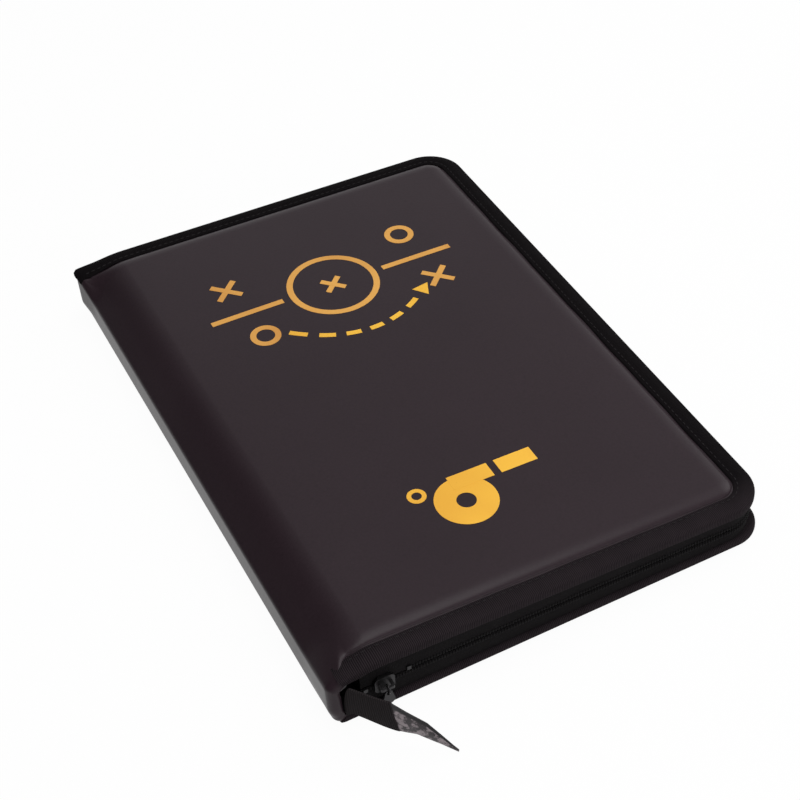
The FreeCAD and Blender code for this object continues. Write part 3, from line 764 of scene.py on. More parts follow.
def run_lengths(points):
    """Length along a line of points, from its start to each of them."""
    steps = np.linalg.norm(np.diff(points, axis=0), axis=1)
    return np.concatenate([[0.0], np.cumsum(steps)])


def curve_points(handles, count):
    """Points of a Bezier curve with two, three or four handles, without the first."""
    handles = np.array(handles, float)
    order = len(handles) - 1
    share = np.linspace(0, 1, count + 1)[1:, None]
    points = np.zeros((count, 2))
    for place, handle in enumerate(handles):
        weight = math.comb(order, place) * share ** place * (1 - share) ** (order - place)
        points += weight * handle
    return points


def front_point(start, depth=0.0):
    """Point of the closed front cover, from its distance past the spine and its depth."""
    along = SPINE_X + start - FRONT_AXIS[0]
    above = FRONT_AXIS_DEPTH - depth
    return np.array([FRONT_AXIS[0] + along * math.cos(TILT) + above * math.sin(TILT),
                     FRONT_AXIS[2] - along * math.sin(TILT) + above * math.cos(TILT)])


def front_height(x, depth):
    """Height of the front cover over a place on the table, at that depth."""
    first = front_point(0, depth)
    return first[1] - (x - first[0]) * math.tan(TILT)


def front_outline(wall_top, lean, pulls, bulge=0.0):
    """Spine wall from its middle, crease, leaning fold and the flat of the front cover."""
    crease = np.array([SPINE_X - bulge, wall_top])
    lean = np.array(lean)
    slope_foot = crease + lean * WALL_CREASE
    flat = front_point(SLOPE_END)
    flat_way = np.array([math.cos(TILT), -math.sin(TILT)])
    middle = np.array([SPINE_X - bulge, SPINE_MIDDLE])
    wall_end = crease - (0, WALL_CREASE)
    points = [middle[None]]
    points.append(curve_points([middle, wall_end], WALL_POINTS))
    points.append(curve_points([wall_end, crease, slope_foot], CREASE_POINTS))
    slope = [slope_foot, slope_foot + lean * pulls[0], flat - flat_way * pulls[1], flat]
    points.append(curve_points(slope, SLOPE_POINTS))
    points.append(curve_points([flat, front_point(CASE_WIDTH + FORE_MARGIN)], FLAT_POINTS))
    return np.concatenate(points)


def back_outline(bulge=0.0):
    """Spine wall from its middle down, the turn under it and the flat of the back cover."""
    bend = SPINE_FOOT - BEND_EASE
    handle = bend * CIRCLE_HANDLE
    foot = np.array([SPINE_X, bend])
    flat = np.array([SPINE_X + bend, 0.0])
    middle = np.array([SPINE_X - bulge, SPINE_MIDDLE])
    points = [middle[None]]
    points.append(curve_points([middle, (middle + foot) / 2 - (bulge / 2, 0), foot], BACK_WALL_POINTS))
    points.append(curve_points([foot, foot - (0, handle), flat - (handle, 0), flat], BEND_POINTS))
    points.append(curve_points([flat, (FORE_X + FORE_MARGIN, 0.0)], FLAT_POINTS))
    return np.concatenate(points)


FRONT = Wrap(front_outline(WALL_TOP, WALL_LEAN, WALL_PULL), 1,
             front_outline(PEAK_WALL, PEAK_LEAN, PEAK_PULL, PEAK_BULGE))
BACK = Wrap(back_outline(), -1, back_outline(PEAK_BULGE))
FRONT_FORE = FRONT.at_x(front_point(CASE_WIDTH)[0])
BACK_FORE = BACK.at_x(FORE_X)
FRONT_OFFSET = FRONT_FORE - CASE_WIDTH
BACK_OFFSET = BACK_FORE - CASE_WIDTH
FRONT_BENDS = ((SPINE_X * MM, 0, SPINE_HEAD * MM), tuple(np.insert(front_point(FRONT_START), 1, 0) * MM))
PANEL_RING = PANEL_FLAT + ROLL_WIDTH
NEAR_SEAM, FORE_SEAM, FAR_SEAM = (width + GROOVE for width in BINDING_WIDTH)


def round_edge(values, out_across):
    """Value round the open edge, from those of the near side, the fore-edge and the far side."""
    near, fore, far = values
    return fore + (near - fore) * np.maximum(-out_across, 0) + (far - fore) * np.maximum(out_across, 0)


def fold_share(wrap, along):
    """Grows from a thin share where the spine's fold begins to the whole on the flat of the cover."""
    return SEAM_THIN + (1 - SEAM_THIN) * smooth_rise((along - wrap.crease) / SEAM_RUN)


def seam_share(wrap, along):
    """Share of the seam's dip: it grows along the front cover and is even along the back one."""
    return np.ones_like(along) if wrap is BACK else fold_share(wrap, along)


def panel_crown(along, across, fore, crown):
    """Gentle swell of the padded panel, with the slight unevenness of foam under leather."""
    start = fore - CASE_WIDTH + SLOPE_END
    end = fore - FORE_SEAM
    share = np.clip((along - start) / (end - start), 0, 1)
    near_side = -across / (HALF_LENGTH - NEAR_SEAM)
    far_side = across / (HALF_LENGTH - FAR_SEAM)
    side = np.clip(np.where(across < 0, near_side, far_side), 0, 1)
    swell = (1 - (2 * share - 1) ** 4) * (1 - side ** 4)
    ripple = np.sin(along / RIPPLE_ALONG[0] + 0.6) * np.sin(across / RIPPLE_ACROSS[0] + 1.1)
    ripple = ripple + 0.6 * np.sin(along / RIPPLE_ALONG[1] - across / RIPPLE_ACROSS[1])
    return crown * swell * (1 + RIPPLE * ripple)


def panel_roll():
    """Reach of the panel's edge from its flat past its seam, and its depth as a share of the dip."""
    turn = np.linspace(0, math.pi / 2, ROLL_STEPS)
    under = PANEL_RING + np.array([0.4, GROOVE + 2.0, GROOVE + 5.0])
    reach = np.concatenate([[0], PANEL_FLAT + ROLL_WIDTH * np.sin(turn), under])
    depth = np.concatenate([[0], np.cos(turn) - 1, -np.ones(3)])
    return reach, depth


def turned_end(seam):
    """Reach and height of the leather turned in at an end of the spine."""
    turn = np.radians(np.linspace(0, END_TURN, ROLL_STEPS + 3))
    end = PANEL_RING + seam + END_PROUD
    reach = np.concatenate([[0], end - END_ROLL + END_ROLL * np.sin(turn)])
    height = np.concatenate([[0], -END_ROLL * (1 - np.cos(turn))])
    return reach, height


def cover_leather(name, wrap, fore, dip, crown, binding_from):
    """Leather of one cover with its half of the spine: padded panel, fold and turned-in ends."""
    edge = fore - FORE_SEAM - PANEL_RING
    near_side = HALF_LENGTH - NEAR_SEAM - PANEL_RING
    far_side = HALF_LENGTH - FAR_SEAM - PANEL_RING
    fold_end = max(binding_from) + 2 * MERGE
    columns = np.concatenate([np.arange(0, fold_end, 1.0), np.linspace(fold_end, edge, PANEL_GRID[0])])
    rows = np.linspace(-near_side, far_side, PANEL_GRID[1])
    corner_turns = np.linspace(0, math.pi / 2, CORNER_STEPS)[1:-1, None]
    roll_reach, roll_depth = panel_roll()
    points = []

    def add(along, across, height):
        """Adds pattern points and gives their numbers, in the shape that they came in."""
        along, across, height = np.broadcast_arrays(along, across, height)
        swell = panel_crown(along, across, fore, crown)
        first = sum(len(group) for group in points)
        points.append(wrap(along, across, height + swell).reshape(-1, 3))
        return first + np.arange(along.size).reshape(along.shape)

    middle = add(columns[:, None], rows[None, :], 0.0)
    fore_edge = add(edge + roll_reach[None, 1:], rows[:, None], dip[1] * roll_depth[None, 1:])
    tables = [middle, np.concatenate([middle[-1][:, None], fore_edge], axis=1)]
    share = seam_share(wrap, columns)[:, None]
    ends = ((-1, 0, near_side, NEAR_SEAM, binding_from[0], dip[0]),
            (1, -1, far_side, FAR_SEAM, binding_from[1], dip[2]))
    for sign, row, side, seam, start, side_dip in ends:
        end_reach, end_height = turned_end(seam)
        merge = smooth_rise((columns - start) / MERGE)[:, None]
        reach = end_reach * (1 - merge) + roll_reach * merge
        height = end_height * (1 - merge) + side_dip * share * roll_depth * merge
        strip = add(columns[:, None], sign * (side + reach[:, 1:]), height[:, 1:])
        tables.append(np.concatenate([middle[:, row][:, None], strip], axis=1))
        corner_dip = round_edge(dip, sign * np.cos(corner_turns))
        fan = add(edge + roll_reach[None, 1:] * np.sin(corner_turns),
                  sign * (side + roll_reach[None, 1:] * np.cos(corner_turns)),
                  corner_dip * roll_depth[None, 1:])
        fan = np.concatenate([strip[-1:], fan, fore_edge[row][None]], axis=0)
        hub = np.full((len(fan), 1), middle[-1, row])
        tables.append(np.concatenate([hub, fan], axis=1))
    faces = [face for table in tables for face in grid_faces(table)]
    piece = new_piece(name, np.concatenate(points), faces, ["leather"])
    face_out(piece, wrap, fore)
    refine = piece.modifiers.new("refine", "SUBSURF")
    refine.levels = 1
    refine.render_levels = 1
    thicken(piece, LEATHER)
    apply_modifiers(piece, 60)
    return piece


def thicken(piece, thickness):
    """Gives an open sheet its thickness, on the side behind its faces."""
    wall = piece.modifiers.new("thickness", "SOLIDIFY")
    wall.thickness = thickness * MM
    wall.offset = -1.0


def face_out(piece, wrap, fore):
    """Makes an open sheet's faces agree, pointing away from the inside of the case."""
    work = bmesh.new()
    work.from_mesh(piece.data)
    bmesh.ops.recalc_face_normals(work, faces=work.faces)
    test, tip = wrap(np.array([fore / 2, fore / 2]), np.zeros(2), np.array([0.0, 1.0]))
    nearest = min(work.faces, key=lambda face: (face.calc_center_median() / MM - Vector(test)).length)
    if nearest.normal.dot(Vector(tip - test)) < 0:
        bmesh.ops.reverse_faces(work, faces=work.faces)
    work.to_mesh(piece.data)
    work.free()


def cover_foam(name, wrap, start, fore, pad, crown):
    """Foam slab under the leather panel, thinning towards its edges."""
    along = np.linspace(start, fore - FORE_SEAM - FOAM_EASE, FOAM_GRID[0])
    across = np.linspace(NEAR_SEAM + FOAM_EASE - HALF_LENGTH, HALF_LENGTH - FAR_SEAM - FOAM_EASE,
                         FOAM_GRID[1])
    thin = np.ones(FOAM_GRID)
    for axis, values in enumerate((along, across)):
        inset = np.minimum(values - values[0], values[-1] - values)
        share = 1 - np.clip(inset / ROLL_WIDTH, 0, 1)
        thin = np.minimum(thin, np.expand_dims(np.sqrt(1 - share ** 2), 1 - axis))
    swell = panel_crown(along[:, None], across[None, :], fore, crown)
    base = -LEATHER - pad
    top = wrap(along[:, None], across[None, :], base + FOAM_RIM + (pad - FOAM_SLACK) * thin + swell)
    bottom = wrap(along[:, None], across[None, :], np.full(thin.shape, base + FOAM_FLOOR))
    return slab(name, top, bottom, "foam")


def slab(name, top, bottom, material, uv=None, smooth=50.0):
    """Closed plate between two grids of points."""
    rows, columns = top.shape[:2]
    count = rows * columns
    upper = np.arange(count).reshape(rows, columns)
    lower = upper + count
    faces = grid_faces(upper) + grid_faces(lower[:, ::-1])
    rim = rim_of(upper)
    faces += grid_faces(np.stack([rim, rim + count]))
    points = np.concatenate([top.reshape(-1, 3), bottom.reshape(-1, 3)])
    piece = new_piece(name, points, faces, [material], None if uv is None else uv + uv, smooth)
    outward_normals(piece)
    shade(piece, smooth)
    return piece


# Edge path round the three open sides

def edge_stations(starts, fore, radius, step=2.5):
    """Points (along, across) of the case edge, with the direction out of the cover at each."""
    straight = fore - radius
    side = HALF_LENGTH - radius
    near_run, far_run = (np.linspace(start, straight, int((straight - start) / step)) for start in starts)
    turns = np.linspace(0, math.pi / 2, 16)[1:-1]
    fore_run = np.linspace(-side, side, int(2 * side / step))
    stations = [(along, -HALF_LENGTH, 0.0, -1.0) for along in near_run]
    stations += [(straight + radius * math.sin(turn), -side - radius * math.cos(turn),
                  math.sin(turn), -math.cos(turn)) for turn in turns]
    stations += [(fore, across, 1.0, 0.0) for across in fore_run]
    stations += [(straight + radius * math.cos(turn), side + radius * math.sin(turn),
                  math.cos(turn), math.sin(turn)) for turn in turns]
    stations += [(along, HALF_LENGTH, 0.0, 1.0) for along in far_run[::-1]]
    return np.array(stations)


def rounded(corner, radius, first, last, steps):
    """Round about a centre, between two angles in degrees."""
    turns = np.radians(np.linspace(first, last, steps))
    return [(corner[0] + radius * math.cos(turn), corner[1] + radius * math.sin(turn)) for turn in turns]


def binding_section(width, pad, board, lip):
    """Closed section of the folded ribbon: distance in from the case edge, and height."""
    top = RIBBON - pad
    bottom = -(LEATHER + pad + board + RIBBON)
    section = [(width, 0.05 - pad)]
    section += [(width + aside, top + rise) for aside, rise in VALLEY]
    section += [(0.5 * width, top + 0.5), (3.2, top + 0.42)]
    section += rounded((FOLD_ROUND, top - FOLD_ROUND + 0.15), FOLD_ROUND, 80, 180, 6)
    section += rounded((FOLD_ROUND, bottom + FOLD_ROUND), FOLD_ROUND, 180, 270, 6)
    section += [(lip, bottom + 0.15), (lip, bottom + RIBBON)]
    section += [(RIBBON, bottom + RIBBON), (RIBBON, -pad)]
    return np.array(section)


def waver(length, waves):
    """Slight unevenness along a run, from waves of (size, run, start)."""
    return sum(size * np.sin(length / run + start) for size, run, start in waves)


def cover_binding(name, wrap, starts, fore, dip, depth, corner):
    """Ribbon folded over the edge of a cover and sewn down, a little uneven along its run."""
    stations = edge_stations([start - 1 for start in starts], fore, corner)
    along, across, out_along, out_across = stations.T
    share = seam_share(wrap, along)
    pads = round_edge(dip, out_across) * share
    widths = round_edge(BINDING_WIDTH, out_across)
    boards = (depth - LEATHER) * share - pads
    lips = LIP_START + (BINDING_LIP - LIP_START) * smooth_rise((along - min(starts)) / LIP_RUN)
    sections = np.array([binding_section(*sizes) for sizes in zip(widths, pads, boards, lips)])
    count = sections.shape[1]
    length = run_lengths(stations[:, :2])
    sway = waver(length, RIBBON_SWAY)
    puff = waver(length, RIBBON_PUFF)
    inward, height = sections[..., 0], sections[..., 1]
    height = height + puff[:, None] * (inward > 2) * (inward < widths[:, None] - 0.5)
    inward = inward + sway[:, None] * (inward > widths[:, None] - 3)
    points = wrap(along[:, None] - inward * out_along[:, None],
                  across[:, None] - inward * out_across[:, None], height)
    index = np.arange(len(stations) * count).reshape(len(stations), count)
    faces = grid_faces(np.concatenate([index, index[:, :1]], axis=1))
    faces += [list(map(int, index[0])), list(map(int, index[-1][::-1]))]
    around = run_lengths(sections[len(sections) // 2])
    uv = [(u * MM, v * MM) for u in length for v in around]
    piece = new_piece(name, points.reshape(-1, 3), faces, ["binding"], uv, 60)
    outward_normals(piece)
    shade(piece, 60)
    return piece


def stitch_line(wrap, starts, fore, dip, corner):
    """Line of stitches in the binding's valley, beside its inner edge."""
    stations = edge_stations([start + MERGE for start in starts], fore, corner)
    along, across, out_along, out_across = stations.T
    inset = round_edge(BINDING_WIDTH, out_across) - STITCH_INSET
    height = RIBBON + 0.05 - round_edge(dip, out_across) * seam_share(wrap, along)
    return wrap(along - inset * out_along, across - inset * out_across, height)


# Beads in a row: stitches and zip coils

def bead_tree():
    """Copies one rounded bead along a line, lying along it, its height towards a given direction."""
    tree = bpy.data.node_groups.new("row_of_beads", "GeometryNodeTree")
    face = tree.interface
    face.new_socket("Line", in_out="INPUT", socket_type="NodeSocketGeometry")
    for size in BEAD_SIZES:
        face.new_socket(size, in_out="INPUT", socket_type="NodeSocketFloat")
    face.new_socket("Upright", in_out="INPUT", socket_type="NodeSocketVector")
    face.new_socket("Material", in_out="INPUT", socket_type="NodeSocketMaterial")
    face.new_socket("Beads", in_out="OUTPUT", socket_type="NodeSocketGeometry")

    def node(kind, settings=None, inputs=None):
        return add_node(tree, kind, settings, inputs)

    given = node("NodeGroupInput").outputs
    line = node("GeometryNodeMeshToCurve", None, {"Mesh": given["Line"]})
    spaced = node("GeometryNodeResampleCurve", {"mode": "LENGTH"},
                  {"Curve": line.outputs[0], "Length": given["Spacing"]})
    bead = node("GeometryNodeMeshUVSphere", None, {"Segments": 8, "Rings": 5, "Radius": 0.5})
    lying = node("FunctionNodeAlignRotationToVector", {"axis": "X"},
                 {"Vector": node("GeometryNodeInputTangent").outputs[0]})
    standing = node("FunctionNodeAlignRotationToVector", {"axis": "Z", "pivot_axis": "X"},
                    {"Rotation": lying.outputs[0], "Vector": given["Upright"]})
    size = node("ShaderNodeCombineXYZ", None,
                {"X": given["Length"], "Y": given["Width"], "Z": given["Height"]})
    copies = node("GeometryNodeInstanceOnPoints", None,
                  {"Points": spaced.outputs[0], "Instance": bead.outputs["Mesh"],
                   "Rotation": standing.outputs[0], "Scale": size.outputs[0]})
    real = node("GeometryNodeRealizeInstances", None, {"Geometry": copies.outputs[0]})
    soft = node("GeometryNodeSetShadeSmooth", None, {"Geometry": real.outputs[0]})
    painted = node("GeometryNodeSetMaterial", None,
                   {"Geometry": soft.outputs[0], "Material": given["Material"]})
    node("NodeGroupOutput", None, {"Beads": painted.outputs[0]})
    return tree


BEAD_SIZES = ("Spacing", "Length", "Width", "Height")
BEAD_TREE = bead_tree()


def bead_row(name, lines, sizes, upright, material):
    """Beads of (spacing, length, width, height) along one or more lines of points."""
    mesh = bpy.data.meshes.new(name)
    points = []
    edges = []
    for line in lines:
        first = len(points)
        points += [tuple(point) for point in np.asarray(line) * MM]
        edges += [(place, place + 1) for place in range(first, len(points) - 1)]
    mesh.from_pydata(points, edges, [])
    piece = bpy.data.objects.new(name, mesh)
    bpy.context.scene.collection.objects.link(piece)
    row = piece.modifiers.new("row", "NODES")
    row.node_group = BEAD_TREE
    values = dict(zip(BEAD_SIZES, [size * MM for size in sizes]))
    values["Upright"] = upright
    values["Material"] = MATERIALS[material]
    for socket in BEAD_TREE.interface.items_tree:
        if socket.in_out == "INPUT" and socket.name in values:
            row[socket.identifier] = values[socket.name]
    apply_modifiers(piece, 180)
    return piece


def covers():
    """Leather, foam, binding and stitches of both covers, shaped round the folds."""
    front_from = [FRONT.at_x(SPINE_X + start) for start in FRONT_BINDING_FROM]
    back_from = [BACK.at_x(SPINE_X + start) for start in BACK_BINDING_FROM]
    front_skin = cover_leather("front_leather", FRONT, FRONT_FORE, FRONT_DIP, PANEL_CROWN, front_from)
    back_skin = cover_leather("back_leather", BACK, BACK_FORE, BACK_DIP, 0.0, back_from)
    front_foam = cover_foam("front_foam", FRONT, FRONT_START + FRONT_OFFSET, FRONT_FORE, FRONT_PAD,
                            PANEL_CROWN)
    back_foam = cover_foam("back_foam", BACK, BACK_START + BACK_OFFSET, BACK_FORE, BACK_PAD, 0.0)
    front_edge = cover_binding("front_edge_binding", FRONT, front_from, FRONT_FORE, FRONT_DIP, FRONT_BASE,
                               FRONT_CORNER)
    back_edge = cover_binding("back_edge_binding", BACK, back_from, BACK_FORE, BACK_DIP, BACK_BASE,
                              BACK_CORNER)
    stitch = (STITCH_PITCH, STITCH_LENGTH, STITCH_WIDTH, STITCH_WIDTH)
    front_line = stitch_line(FRONT, front_from, FRONT_FORE, FRONT_DIP, FRONT_CORNER)
    back_line = stitch_line(BACK, back_from, BACK_FORE, BACK_DIP, BACK_CORNER)
    front_sewn = bead_row("front_edge_stitches", [front_line], stitch, (0, 0, 1), "thread")
    back_sewn = bead_row("back_edge_stitches", [back_line], stitch, (0, 0, 1), "thread")
    for piece in (front_skin, front_edge, front_sewn):
        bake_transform(piece)
    for piece in (back_skin, back_edge, back_sewn):
        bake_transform(piece)
    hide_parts("front_skin", "front_fold")
    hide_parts("back_skin", "back_fold", "spine_skin")
    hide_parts("front_binding")
    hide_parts("back_binding")
    dress(front_foam, "front_cover", "foam", "front_pad")
    dress(back_foam, "back_cover", "foam", "back_pad")


# Inside of the case

def spine_stiffener():
    """Board in the spine, its ends rounded off inside the turned leather."""
    low, high = node_box("spine_board")
    x = np.array([low[0] + 0.1, high[0] - 0.05])
    across = np.linspace(STIFFENER_END - HALF_LENGTH, HALF_LENGTH - STIFFENER_END, 40)
    ends = np.clip((HALF_LENGTH - STIFFENER_END - np.abs(across)) / 3.0, 0, 1)
    shrink = 1 - 0.25 * (1 - ends) ** 2
    z = SPINE_MIDDLE + np.linspace(-0.5, 0.5, 4)[None, :] * (high[2] - low[2] - 0.2) * shrink[:, None]
    y = np.broadcast_to(across[:, None], z.shape)
    grids = [np.stack([np.full(z.shape, place), y, z], axis=-1) for place in x]
    dress(slab("spine_stiffener", grids[0], grids[1], "board"), "spine", "board", "spine_board")


def gutter_lining(name, wrap, end, heights):
    """Lining from the middle of the spine over one fold, close to the leather in the bend."""
    along = np.linspace(0, end, 28)
    across = np.linspace(-GUTTER_HALF, GUTTER_HALF, 60)
    height = np.interp(along, np.linspace(0, end, len(heights)), heights)
    height = np.minimum(height, -LEATHER - LINING - max(FRONT_DIP) * fold_share(wrap, along))[:, None]
    ease = GUTTER_WAVE[0] * np.sin(across / GUTTER_WAVE[1])[None, :] * np.sin(math.pi * along / end)[:, None]
    face = wrap(along[:, None], across[None, :], height - LINING / 2 + ease)
    reverse = wrap(along[:, None], across[None, :], height + LINING / 2 + ease)
    piece = slab(name, face, reverse, "lining")
    return piece


def flat_lining(name, place, start, end, body, node):
    """Lining pasted on the inside of a cover, its outer corners rounded."""
    corner = np.sin(np.linspace(0, math.pi / 2, 8))[1:]
    along = np.concatenate([np.linspace(start, end - LINING_CORNER, 40),
                            end - LINING_CORNER + LINING_CORNER * corner])
    half = LINING_HALF - LINING_CORNER + np.sqrt(
        np.maximum(LINING_CORNER ** 2 - np.maximum(along - end + LINING_CORNER, 0) ** 2, 0))
    across = half[:, None] * np.linspace(-1, 1, 60)[None, :]
    grids = []
    for depth in (LINING, LINING_GAP):
        x, z = (np.broadcast_to(values[:, None], across.shape) for values in place(along, depth))
        grids.append(np.stack([x, across, z], axis=-1))
    piece = dress(slab(name, grids[0], grids[1], "lining"), body, "lining", node)
    (end - start) * MM


def linings():
    """Cloth over the boards, the spine and both folds."""
    front_end = FRONT_START + FRONT_OFFSET
    back_end = BACK_START + BACK_OFFSET + LINING_LAP
    front = gutter_lining("front_gutter_lining", FRONT, front_end, FRONT_GUTTER)
    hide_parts("front_hinge_lining")
    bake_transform(front)
    back = gutter_lining("back_gutter_lining", BACK, back_end, BACK_GUTTER)
    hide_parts("back_hinge_lining", "spine_lining")
    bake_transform(back)

    def front_place(along, depth):
        points = [front_point(start, FRONT_BASE + depth) for start in along]
        return np.array(points).T

    def back_place(along, depth):
        return SPINE_X + along, np.full(len(along), BACK_BASE + depth)

    end = CASE_WIDTH - LINING_INSET
    flat_lining("front_cover_lining", front_place, FRONT_START, end, "front_cover", "front_lining")
    flat_lining("back_cover_lining", back_place, BACK_START, end, "back_cover", "back_lining")


# Zip

def chain_height(x):
    """Height of the closed chain, midway between the two covers' bindings."""
    return (BACK_EDGE_TOP + front_height(x, FRONT_EDGE_FOOT)) / 2


def zip_path(start, inset):
    """Plan points of the zip round the case, with the way out at each, at an inset from the edge."""
    stations = edge_stations([start - SPINE_X] * 2, CASE_WIDTH, ZIP_CORNER, 2.0)
    x = SPINE_X + stations[:, 0] - inset * stations[:, 2]
    y = stations[:, 1] - inset * stations[:, 3]
    return np.stack([x, y], axis=1), stations[:, 2:]


def zip_tape(name, body, node, low, high):
    """Woven tape standing round the three sides, from one cover's edge to the coil."""
    plan, out = zip_path(node_box(node)[0][0], TAPE_INSET)
    length = run_lengths(plan)
    share = np.linspace(0, 1, 8)
    floor = np.array([low(x) for x in plan[:, 0]])
    head = np.array([high(x) for x in plan[:, 0]])
    z = floor[:, None] + (head - floor)[:, None] * share
    hump = np.sin(math.pi * share)
    belly = TAPE_BOW * hump[None, :] + TAPE_WAVE[0] * np.sin(length / TAPE_WAVE[1])[:, None] * hump
    grids = []
    for thickness in (TAPE / 2, -TAPE / 2):
        shift = (belly + thickness)[..., None] * out[:, None, :]
        grids.append(np.concatenate([plan[:, None, :] + shift, z[..., None]], axis=-1))
    uv = [(u * MM, v * MM) for u, row in zip(length, z) for v in row]
    dress(slab(name, grids[0], grids[1], "zip_tape", uv), body, "zip_tape", node)


def zip_coils():
    """Both halves of the coil: a bead for each turn, standing clear of the slider's post."""
    for name, body, node, sign in (("upper_coil_turns", "front_cover", "upper_zip_coil", 1),
                                   ("lower_coil_turns", "back_cover", "lower_zip_coil", -1)):
        plan = zip_path(node_box(node)[0][0], COIL_INSET)[0]
        z = chain_height(plan[:, 0]) + sign * COIL_RISE
        turns = np.concatenate([plan, z[:, None]], axis=1)
        sizes = (COIL_PITCH, COIL_PITCH * COIL_FILL, COIL_WIDTH, COIL_HEIGHT)
        piece = bead_row(name, [turns], sizes, (0, 0, 1), "zip_coil")
        dress(piece, body, "zip_coil", node)


def zip_tapes():
    """Both tapes, each from its cover's board to the chain."""
    zip_tape("lower_zip_weave", "back_cover", "lower_zip_tape",
             lambda x: BACK_BASE + TAPE_FOOT, lambda x: chain_height(x) - CHAIN_GAP)
    zip_tape("upper_zip_weave", "front_cover", "upper_zip_tape",
             lambda x: chain_height(x) + CHAIN_GAP, lambda x: front_height(x, FRONT_BASE + TAPE_FOOT))


# Free end of the zip

def tail_path():
    """Plan of the tape's free end: along the zip, round the end of the case and out to its tip."""
    root = [(x, TAIL_TURN_Y + TAIL_TURN) for x in np.linspace(TAIL_ROOT_X, TAIL_TURN_X, 6)[:-1]]
    turns = np.radians(np.linspace(90, 270 + TAIL_BEARING, 14))
    bend = [(TAIL_TURN_X + TAIL_TURN * math.cos(turn), TAIL_TURN_Y + TAIL_TURN * math.sin(turn))
            for turn in turns]
    way = np.array([math.cos(math.radians(TAIL_BEARING)), math.sin(math.radians(TAIL_BEARING))])
    far = np.linspace(0, TAIL_LENGTH + TIP_LENGTH + TAIL_SLANT, 40)[1:, None]
    run = np.array(bend[-1]) + way * far
    plan = np.concatenate([root, bend, run])
    return plan, run_lengths(plan)


def upright_ribbon(name, stations, low, high, thickness, slant, bow, material, unit_across=False):
    """Ribbon on edge along the tail's plan, between a lower and an upper edge, its face bowed."""
    plan, lengths = tail_path()
    share = np.linspace(0, 1, 11)
    reach = stations[:, None] - slant[:, None] * (share - 0.5)
    centre = np.stack([np.interp(reach, lengths, plan[:, axis]) for axis in (0, 1)], axis=-1)
    way = np.gradient(plan, axis=0)
    way /= np.linalg.norm(way, axis=1, keepdims=True)
    out = np.stack([np.interp(reach, lengths, way[:, 1]), -np.interp(reach, lengths, way[:, 0])], axis=-1)
    z = low[:, None] + (high - low)[:, None] * share
    swell = bow[:, None] * (0.4 + 0.6 * np.sin(math.pi * share))
    edge = 0.7 + 0.3 * np.sin(math.pi * share) ** 0.5
    grids = []
    for side in (0.5, -0.5):
        shift = (swell + side * thickness[:, None] * edge)[..., None] * out
        grids.append(np.concatenate([centre + shift, z[..., None]], axis=-1))
    uv = [(u * MM, v if unit_across else v * 20 * MM) for u in stations for v in share]
    return slab(name, grids[0], grids[1], material, uv, 60)


def zip_tail():
    """Woven strap and its stiffened pointed end."""
    root = abs(TAIL_TURN_X - TAIL_ROOT_X)
    bend_end = root + TAIL_TURN * math.radians(180 + TAIL_BEARING)
    leave = root + TAIL_TURN * math.radians(TAIL_LEAVE)
    seam = bend_end + TAIL_LENGTH
    stations = np.linspace(0, seam, STRAP_STATIONS)
    droop = smooth_rise((stations - leave) / (seam - leave))
    floor = TAIL_FLOOR[0] + (TAIL_FLOOR[1] - TAIL_FLOOR[0]) * droop
    head = TAIL_TOP[0] + (TAIL_TOP[1] - TAIL_TOP[0]) * droop
    widen = smooth_rise((stations - leave) / TAIL_WIDEN)
    low = TAIL_IN_LOW + (floor - TAIL_IN_LOW) * widen
    high = TAIL_IN_HIGH + (head - TAIL_IN_HIGH) * smooth_rise((stations - leave + TAIL_EARLY) / TAIL_RISE)
    thickness = np.full(STRAP_STATIONS, STRAP)
    strap = upright_ribbon("zip_tail_strap", stations, low, high, thickness, TAIL_SLANT * droop,
                           0.5 * widen, "tail")
    dress(strap, "back_cover", "zip_tape", "zip_tail_tape")
    share = np.linspace(0, 1, 32)
    leaf_stations = seam - TIP_LAP + (TIP_LENGTH + TIP_LAP) * share
    top = np.interp(share, TIP_TOP_AT, TIP_TOP)
    foot = np.interp(share, TIP_FOOT_AT, TIP_FOOT)
    thickness = TIP_SEAM - TIP_THINNER * smooth_rise(share / 0.06)
    leaf = upright_ribbon("zip_tail_leaf", leaf_stations, foot, top, thickness, TAIL_SLANT * (1 - share) ** 2,
                          0.9 * np.sin(math.pi * share), "tail_film", True)
    dress(leaf, "back_cover", "tail_film", "zip_tail_tip")


# Gold foil on the front: distance past the spine, distance from the middle of the cover

DIAGRAM = (118, 78)
DIAGRAM_LINE = 3.5
CENTRE_RING = 24
CENTRE_REACH = 5.2
HALFWAY_ENDS = ((46, 88), (148, 190))
CROSSES = ((64, 101), (172, 57))
RINGS = ((68, 56), (170, 101))
MARK_REACH = 6.7
MARK_LINE = 3.3
RUN_HANDLES = [(80, 52), (106, 29), (134, 29), (157, 49)]
RUN_LINE = 3.1
RUN_DASHES = 6
RUN_STEPS = 60
DASH_SHARE = 0.62
ARROW_HALF = 5.0
ARROW_LENGTH = 9.0


def stroke(points, width, closed=False):
    """Flat band of that width along a line, as points and quads."""
    points = np.array(points, float)
    if closed:
        before = np.roll(points, 1, axis=0)
        after = np.roll(points, -1, axis=0)
        way = after - before
    else:
        way = np.gradient(points, axis=0)
    way /= np.linalg.norm(way, axis=1, keepdims=True)
    aside = np.stack([-way[:, 1], way[:, 0]], axis=1) * width / 2
    count = len(points)
    both = np.concatenate([points + aside, points - aside])
    faces = [(place, place + count, (place + 1) % count + count, (place + 1) % count)
             for place in range(count if closed else count - 1)]
    return both, faces


def line(start, end, width):
    """Straight band, in short steps so that it follows the panel."""
    count = max(2, int(math.dist(start, end) / 3))
    return stroke(np.linspace(start, end, count), width)


